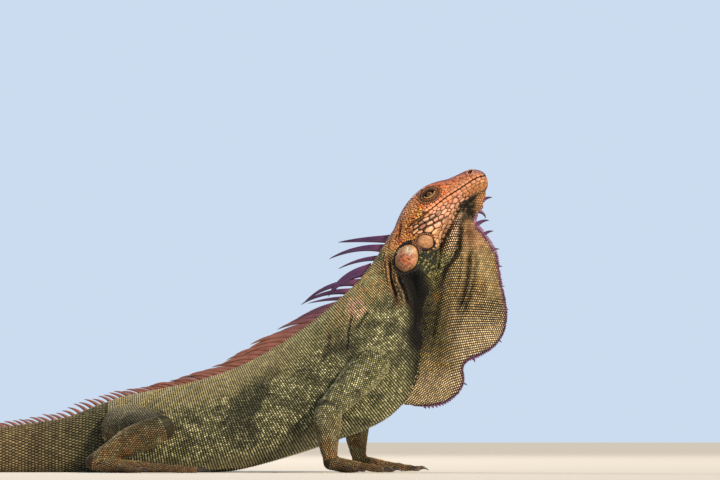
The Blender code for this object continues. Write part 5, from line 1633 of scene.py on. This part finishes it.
def makeShields():
    # the round shield under the ear and the plate in front of it, each one smooth low dome
    turns, levels = 96, 26
    parts, allTones, allRise = [], [], []
    for side in (-1, 1):
        for sizes in (shield, secondPlate):
            middle, normal, axes = plateFrame(sizes, side)
            around = circle(turns)
            rings, rises = [], []
            for level in range(levels):
                share = 1 - level / levels
                lobed = 1 + 0.012 * np.sin(around * 3 + 1) + 0.01 * np.sin(around * 5)
                flat = np.stack((np.cos(around) * sizes["radii"][0] * share * lobed,
                                 np.sin(around) * sizes["radii"][1] * share * lobed, np.zeros(turns)), 1)
                found, lifted, _ = onSkin(middle + flat @ axes * 0.001)
                lift = sizes["height"] * (1 - share ** 2.6) ** 0.75 - (0.8 if level == 0 else 0)
                rings.append(found + unit(lifted * 0.3 + normal) * lift * 0.001)
                rises.append(np.full(turns, min(1, level / 3)))
            points, triangles = tube(np.array(rings))
            parts.append((points, triangles))
            allRise.append(np.concatenate(rises + [[0, 1]]))
            spans = (points - middle) @ axes.T * 1000 / sizes["radii"][0]
            patches, flecks = drift(spans, (0.30, 0.30, 0.30), 4), drift(spans, (0.12, 0.12, 0.12), 5)
            tone = np.tile(tones["shieldPink"], (len(points), 1))
            if sizes is shield:
                low = smoothStep(1.2 - np.hypot(spans[:, 0] + 0.35, spans[:, 1]) / 0.75)
                tone = layered(tone,
                    ("shieldRed", low * (0.25 + 0.75 * rising(patches, 0.4, 0.3)) * 0.8),
                    ("shieldFleck", low * falling(flecks, 0.46, 0.12) * 0.9),
                    # the pale upper front is partly its own colour and partly a painted sunlit highlight
                    ("shieldPale", smoothStep(1.25 - np.hypot(spans[:, 0] - 0.62, spans[:, 1]) / 0.42)))
                rim = np.hypot(spans[:, 0], spans[:, 1] * sizes["radii"][0] / sizes["radii"][1])
                tone = layered(tone, ("shieldOchre", rising(rim, 0.66, 0.22) * 0.75))
            else:
                tone = layered(tone, ("shieldOchre", 0.2 + 0.6 * rising(patches, 0.45, 0.3)))
            # painted shade: the shield's rear lower side darker, as turned from the light
            shade = 1 - 0.45 * smoothStep((-0.1 - spans[:, 0]) / 0.9) * (sizes is shield)
            tone = tone * (0.40 + 0.55 * flecks[:, None]) * shade[:, None]
            allTones.append(tone)
    item = makeMesh("shields", *joined(parts))
    setAttributes(item, np.concatenate(allTones), np.concatenate(allRise))
    finishPiece(item, keratinPlates, ["head"])


makeShields()
report("shields made")

# Crest. The measured spines: x and z of the base's middle, length, degrees below level at root and tip, and
# half the chord.
crest = {
    "start": headEnd - 2.3,
    "end": torsoEnd + 9.0,
    "measured": [
        (126.6, 199.2, 43, -1, 8, 3.3), (121.0, 191.8, 48, -8, 29, 3.2), (115.7, 184.2, 35, 0, 30, 2.2),
        (107.0, 175.0, 42, 4, 62, 4.9), (98.6, 164.4, 52, -6, 48, 3.0), (91.0, 158.0, 44, -6, 36, 2.6),
        (84.5, 153.4, 30, 0, 16, 1.8), (78.0, 148.0, 38, 8, 36, 2.6),
    ],
    "pitch": 7.2,  # from one spine to the next
}


def crestLine():
    places = np.linspace(crest["start"], crest["end"], 2400)
    return places, walkedAlong(rowsAt(family, places)[:, :3]) * 1000


def spineShape(root, out, along, lateral, length, lean, chord, thick, tilt, curl=1.0):
    # a flattened, fluted sickle: rings across its own curve
    steps, turns = 18, 14
    angles = circle(turns)
    centre, rings = root.copy(), []
    for k in range(steps):
        share = k / steps
        bend = np.radians(lean[0] + (lean[1] - lean[0]) * share ** curl)
        way = unit(out * math.cos(bend) + along * math.sin(bend) + lateral * math.sin(tilt)
                   * min(1, share * 2))
        across = unit(np.cross(way, lateral))
        size = (1 - share) ** 0.72 * (1 + 0.25 * math.exp(-share * 14))
        flute = 1 + 0.07 * np.cos(angles * 6)
        rings.append(centre + np.outer(np.cos(angles) * flute, across) * chord * size
                     + np.outer(np.sin(angles) * flute, lateral) * thick * size)
        centre = centre + way * length / steps
    return np.array(rings), centre


def makeCrest():
    places, walked = crestLine()
    dorsal = rowsAt(family, places)[:, [0, 2]] * 1000
    spines = []
    for x, z, length, rootDip, tipDip, chord in crest["measured"]:
        at = walked[np.argmin(np.hypot(dorsal[:, 0] - x, dorsal[:, 1] - z))]
        spines.append((at, length, (90 + rootDip, 90 + tipDip), chord, True))
    at += crest["pitch"]
    while at < walked[-1] - 6:
        length = 38 - 26 * float(rising(at, 90, 200)) if at < 330 else max(3.5, 12 - 9 * (at - 330) / 260)
        length *= rng.uniform(0.88, 1.1)
        lean = (46 + rng.uniform(-4, 4), 86 + rng.uniform(-6, 6))
        spines.append((at, length, lean, min(3.0, 1.2 + length * 0.045), False))
        at += crest["pitch"] * min(1, 0.62 + length / 80)
    parts, allTones = [], []
    for at, length, lean, chord, measured in spines:
        place = np.interp(at, walked, places)
        row = rowsAt(family, [place, place + 0.02])
        out = unit(row[0, :3] - row[0, 3:6])
        along = unit(row[1, :3] - row[0, :3])
        along = unit(along - out * (along @ out))
        root = row[0, :3] - out * 0.003
        if measured:  # leans are taken from upright and straight back
            out, along = np.array((0, 0, 1.0)), np.array((-1.0, 0, 0))
        rings, tip = spineShape(root, out, along, unit(row[0, 6:9]), (length + 3) * 0.001, lean,
                                chord * 0.001, min(1.3, 0.7 + length * 0.014) * 0.001,
                                math.radians(rng.uniform(-5, 5)))
        points, triangles = tube(posed(rings), posed(tip))
        parts.append((points, triangles))
        share = shareAlong(rings)
        around = np.concatenate((np.tile(np.cos(circle(14) * 6), len(rings)), (0, 0)))
        tone = np.tile(tones["spine"], (len(points), 1)) * rng.uniform(0.8, 1.25)
        tone = layered(tone,
            ("spinePink", (1 - smoothStep(share / 0.3)) * 0.6),
            # painted highlight: the flutes' crests pinker
            ("spinePink", np.clip(around, 0, 1) * 0.2),
            ("spineTip", rising(share, 0.6, 0.4) * 0.8),
            ("spineBrown", np.full(len(points), min(1, max(0, at - 60) / 60) * 0.8)))
        allTones.append(tone)
    item = makeMesh("crest_spines", *joined(parts))
    setAttributes(item, np.concatenate(allTones), 1.0)
    finishPiece(item, keratinSpines, ["head", "neck", "torso", "tail_1", "tail_2"])


makeCrest()

# ray, length, direction at the root in degrees above straight ahead, how far it curves down
gularSpikes = [(1.0, 6.8, 42, 50), (2.35, 8.5, 4, 92), (4.35, 10.2, 46, 52), (5.3, 7.0, 44, 48),
               (6.6, 3.2, 10, 20), (7.8, 2.4, 10, 20), (9.0, 1.6, 0, 20), (10.4, 1.8, -10, 20),
               (12.4, 2.4, -30, 20), (14.4, 3.0, -60, 20), (17.2, 3.6, -10, 30)]


def makeGularSpikes():
    rows = list(gularSpikes)
    for place in np.arange(1.4, len(dewlapRays) - 1.3, 0.13):
        if min(abs(place - row[0]) for row in gularSpikes) > 0.11:
            rows.append((place, rng.uniform(0.2, 0.7) + 0.4 * (place < 5), None, 20))
    parts, allTones = [], []
    for place, length, rise, droop in rows:
        ends = [dewlapPoint(np.array([place + shift]), np.array([1.0]), 0)[0] for shift in (-0.05, 0.05)]
        edge = dewlapPoint(np.array([place]), np.array([1.0]), 0)[0]
        root = dewlapPoint(np.array([place]), np.array([0.9]), 0)[0]
        outward = unit(edge - root)
        run = unit(ends[0] - ends[1])
        if rise is None:
            square = np.cross(sideways, run)
            way = unit(outward * 0.6 + square * 0.8 * np.sign(square @ outward))
        else:
            way = np.array((math.cos(math.radians(rise)), 0, math.sin(math.radians(rise))))
        upward = unit(np.cross(way, sideways))
        chord = 0.0009 + length * 0.00012 if rise is not None else 0.0014
        rings, tip = spineShape(edge - outward * 0.0026, way, upward, sideways, (length + 2.6) * 0.001,
                                (0, -droop), chord, 0.0009 if rise is not None else 0.0008, 0.0)
        points, triangles = tube(rings, tip)
        parts.append((points, triangles))
        share = shareAlong(rings)
        tone = np.tile(tones["edge"], (len(points), 1)) * rng.uniform(0.8, 1.2)
        allTones.append(layered(tone, ("spineTip", (0.3 + share * 0.7) * (rise is not None))))
    item = makeMesh("gular_spikes", *joined(parts))
    setAttributes(item, np.concatenate(allTones), 1.0)
    finishPiece(item, keratinSpines, ["dewlap"])


makeGularSpikes()


def makeClaws():
    for kind in ("fore", "hind"):
        parts, share = [], []
        for side in (-1, 1):
            for row in digitTables[kind]:
                _, way, toe, claw = digitFamily(kind, side, row)
                steps, turns = 14, 12
                angles = circle(turns)
                across = np.cross(way, (0, 0, 1.0))
                rings = []
                for k in range(steps):
                    part = k / steps
                    height = 2.7 + 1.5 * math.sin(part * math.pi * 0.9) - 2.3 * part ** 1.6
                    size = row[4] * 0.56 * (1 - part) ** 0.8 + 0.12
                    centre = np.array((row[0] + way[0] * (toe + claw * part),
                                       row[1] + way[1] * (toe + claw * part), height))
                    ring = (centre + np.outer(np.cos(angles) * 0.62, across) * size
                            + np.outer(np.sin(angles), (0, 0, 1)) * size)
                    rings.append(onSide(ring, kind, side))
                tip = onSide((row[0] + way[0] * row[3], row[1] + way[1] * row[3], 0.35), kind, side)
                rings = np.array(rings)
                rings[:, :, 2] = np.maximum(rings[:, :, 2], 0.0001)
                parts.append(tube(rings, tip))
                share.append(shareAlong(rings))
        share = np.concatenate(share)
        item = makeMesh(f"claws_{kind}", *joined(parts))
        setAttributes(item, linear("#3B2C22") + (linear("#150F0C") - linear("#3B2C22")) * share[:, None], 1.0)
        names = ("hand", "foot")[kind == "hind"]
        finishPiece(item, clawHorn, [f"{names}_left", f"{names}_right"])


makeClaws()


def eyeMaterial():
    # wet cornea over a golden-brown iris and a round pupil, which gives one sharp highlight
    made = bpy.data.materials.new("wetEye")
    tree = emptyTree(made)
    polar = addNode(tree, "ShaderNodeAttribute", attribute_name="polar").outputs["Fac"]
    spoke = addNode(tree, "ShaderNodeAttribute", attribute_name="spoke").outputs["Vector"]
    fibre = addNode(tree, "ShaderNodeTexNoise", {"Vector": spoke}, Scale=7.0, Detail=4.0)
    shifted = addNode(tree, "ShaderNodeMath", {0: fibre.outputs["Fac"], 1: polar}, operation="MULTIPLY_ADD")
    shifted.inputs[1].default_value = 0.07
    tree.links.new(polar, shifted.inputs[2])
    ramp = addNode(tree, "ShaderNodeValToRGB", {"Fac": shifted.outputs[0]})
    stops = [(0.0, "#070504"), (0.215, "#0A0706"), (0.245, "#7E5C34"), (0.36, "#6E4A28"), (0.50, "#4A301A"),
             (0.60, "#1E130C"), (1.0, "#2E2018")]
    ramp.color_ramp.elements[0].position, ramp.color_ramp.elements[1].position = stops[0][0], stops[-1][0]
    ramp.color_ramp.elements[0].color = (*linear(stops[0][1]), 1)
    ramp.color_ramp.elements[1].color = (*linear(stops[-1][1]), 1)
    for position, code in stops[1:-1]:
        element = ramp.color_ramp.elements.new(position)
        element.color = (*linear(code), 1)
    streak = addNode(tree, "ShaderNodeMapRange", {"Value": fibre.outputs["Fac"]}, From_Min=0.3, From_Max=0.7,
                     To_Min=0.7, To_Max=1.3)
    colour = addNode(tree, "ShaderNodeVectorMath", {0: ramp.outputs["Color"], "Scale": streak.outputs[0]},
                     operation="SCALE")
    shader = addNode(tree, "ShaderNodeBsdfPrincipled", {"Base Color": colour.outputs[0]}, Roughness=0.35,
                     IOR=1.376, Specular_IOR_Level=0.25, Coat_Weight=0.4, Coat_Roughness=0.04)
    addNode(tree, "ShaderNodeOutputMaterial", {"Surface": shader.outputs[0]})
    return made


def makeEyes():
    material = eyeMaterial()
    for side, name in ((-1, "right"), (1, "left")):
        axes, centre = eyeAxes(side), eyeCentre(side)
        turns, rows = 48, 40
        polar = np.linspace(math.pi, 0, rows)[1:-1]
        around = circle(turns)
        bulge = 1 + 0.045 * np.exp(-(polar / 0.55) ** 2)  # the cornea
        local = np.stack((np.outer(np.sin(polar) * bulge, np.cos(around)),
                          np.outer(np.sin(polar) * bulge, np.sin(around)),
                          np.outer(np.cos(polar) * bulge, np.ones(turns))), -1) * eyes["radius"] * 0.001
        points, triangles = tube(posed(centre + local @ axes),
                                 posed(centre + axes[2] * eyes["radius"] * 0.001045))
        points[-2] = posed(centre - axes[2] * eyes["radius"] * 0.001)
        item = makeMesh(f"eyeball_{name}", points, triangles)
        angle = np.concatenate((np.repeat(polar, turns), (math.pi, 0)))
        around = np.concatenate((np.tile(around, len(polar)), (0, 0)))
        setAttribute(item, "polar", "FLOAT", np.clip(angle, 0, 1))
        setAttribute(item, "spoke", "FLOAT_VECTOR",
                     np.stack((np.cos(around), np.sin(around), angle * 0.25), 1))
        finishPiece(item, material, [f"eye_{name}"])


makeEyes()


def paintSkin():
    # the hide takes the tone of the nearest scale, darker
    spots, values = np.concatenate(skinTones["spots"]), np.concatenate(skinTones["tones"])
    tree = treeOf(spots)
    nearest = [tree.find(point)[1] for point in skinPoints.tolist()]
    local = headLocal(skinPoints)
    lipGap = np.abs(local[:, 2] - mouthHeight(local[:, 0]))
    taut = smoothStep((local[:, 0] + 6) / 20) * rising(lipGap, 0.7, 0.5)
    taut *= smoothStep(np.hypot(local[:, 0] - nostril["spot"][0], local[:, 2] - nostril["spot"][1]) - 1.8)
    setAttributes(skin, values[nearest] * (0.10 + 0.28 * taut)[:, None], 1.0)
    skin.data.materials.clear()
    skin.data.shade_smooth()
    skin.data.set_sharp_from_angle(angle=math.radians(60))
    finishPiece(skin, bareHide, fleshNodes)


paintSkin()
report("spines, claws, eyes and skin made")

# Floor and light
studio = {
    "floor": "#DEDBD3", "sky": "#CCDCF0", "skyStrength": 0.34, "backdropStrength": 1.0,
    # the key is a soft sun: where it stands, degrees across, strength, colour
    "key": ((2.2, -1.7, 1.75), 6, 4.3, "#FFEBD0"),
    # place, size, power, colour
    "lights": [((-0.9, -1.8, 0.9), 1.2, 5, "#DCE8FF"), ((-2.0, 2.8, 2.4), 2.4, 100, "#FFF4E6")],
}


def makeStudio():
    floor = makeMesh("floor", np.array([(-40, -40, 0), (40, -40, 0), (40, 40, 0), (-40, 40, 0)], float),
                     np.array([(0, 1, 2), (0, 2, 3)]))
    material = bpy.data.materials.new("paleFloor")
    material.use_nodes = True
    shader = material.node_tree.nodes["Principled BSDF"]
    shader.inputs["Base Color"].default_value = (*linear(studio["floor"]), 1)
    shader.inputs["Roughness"].default_value = 0.8
    floor.data.materials.append(material)
    world = bpy.data.worlds.new("studio")
    tree = emptyTree(world)
    # what is seen behind the model is brighter than what lights it
    seen = addNode(tree, "ShaderNodeLightPath").outputs["Is Camera Ray"]
    strength = addNode(tree, "ShaderNodeMapRange", {"Value": seen}, To_Min=studio["skyStrength"],
                       To_Max=studio["backdropStrength"])
    background = addNode(tree, "ShaderNodeBackground", {"Strength": strength.outputs[0]},
                         Color=(*linear(studio["sky"]), 1))
    addNode(tree, "ShaderNodeOutputWorld", {"Surface": background.outputs[0]})
    bpy.context.scene.world = world
    bpy.context.scene.view_settings.view_transform = "Standard"
    place, across, strength, colour = studio["key"]
    sun = bpy.data.lights.new("key", "SUN")
    sun.angle, sun.energy, sun.color = math.radians(across), strength, linear(colour)
    linked("key", sun, place)
    for number, (place, size, power, colour) in enumerate(studio["lights"]):
        light = bpy.data.lights.new(f"light{number}", "AREA")
        light.size, light.energy, light.color = size, power, linear(colour)
        linked(f"light{number}", light, place)


makeStudio()

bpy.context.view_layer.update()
report("scene ready")
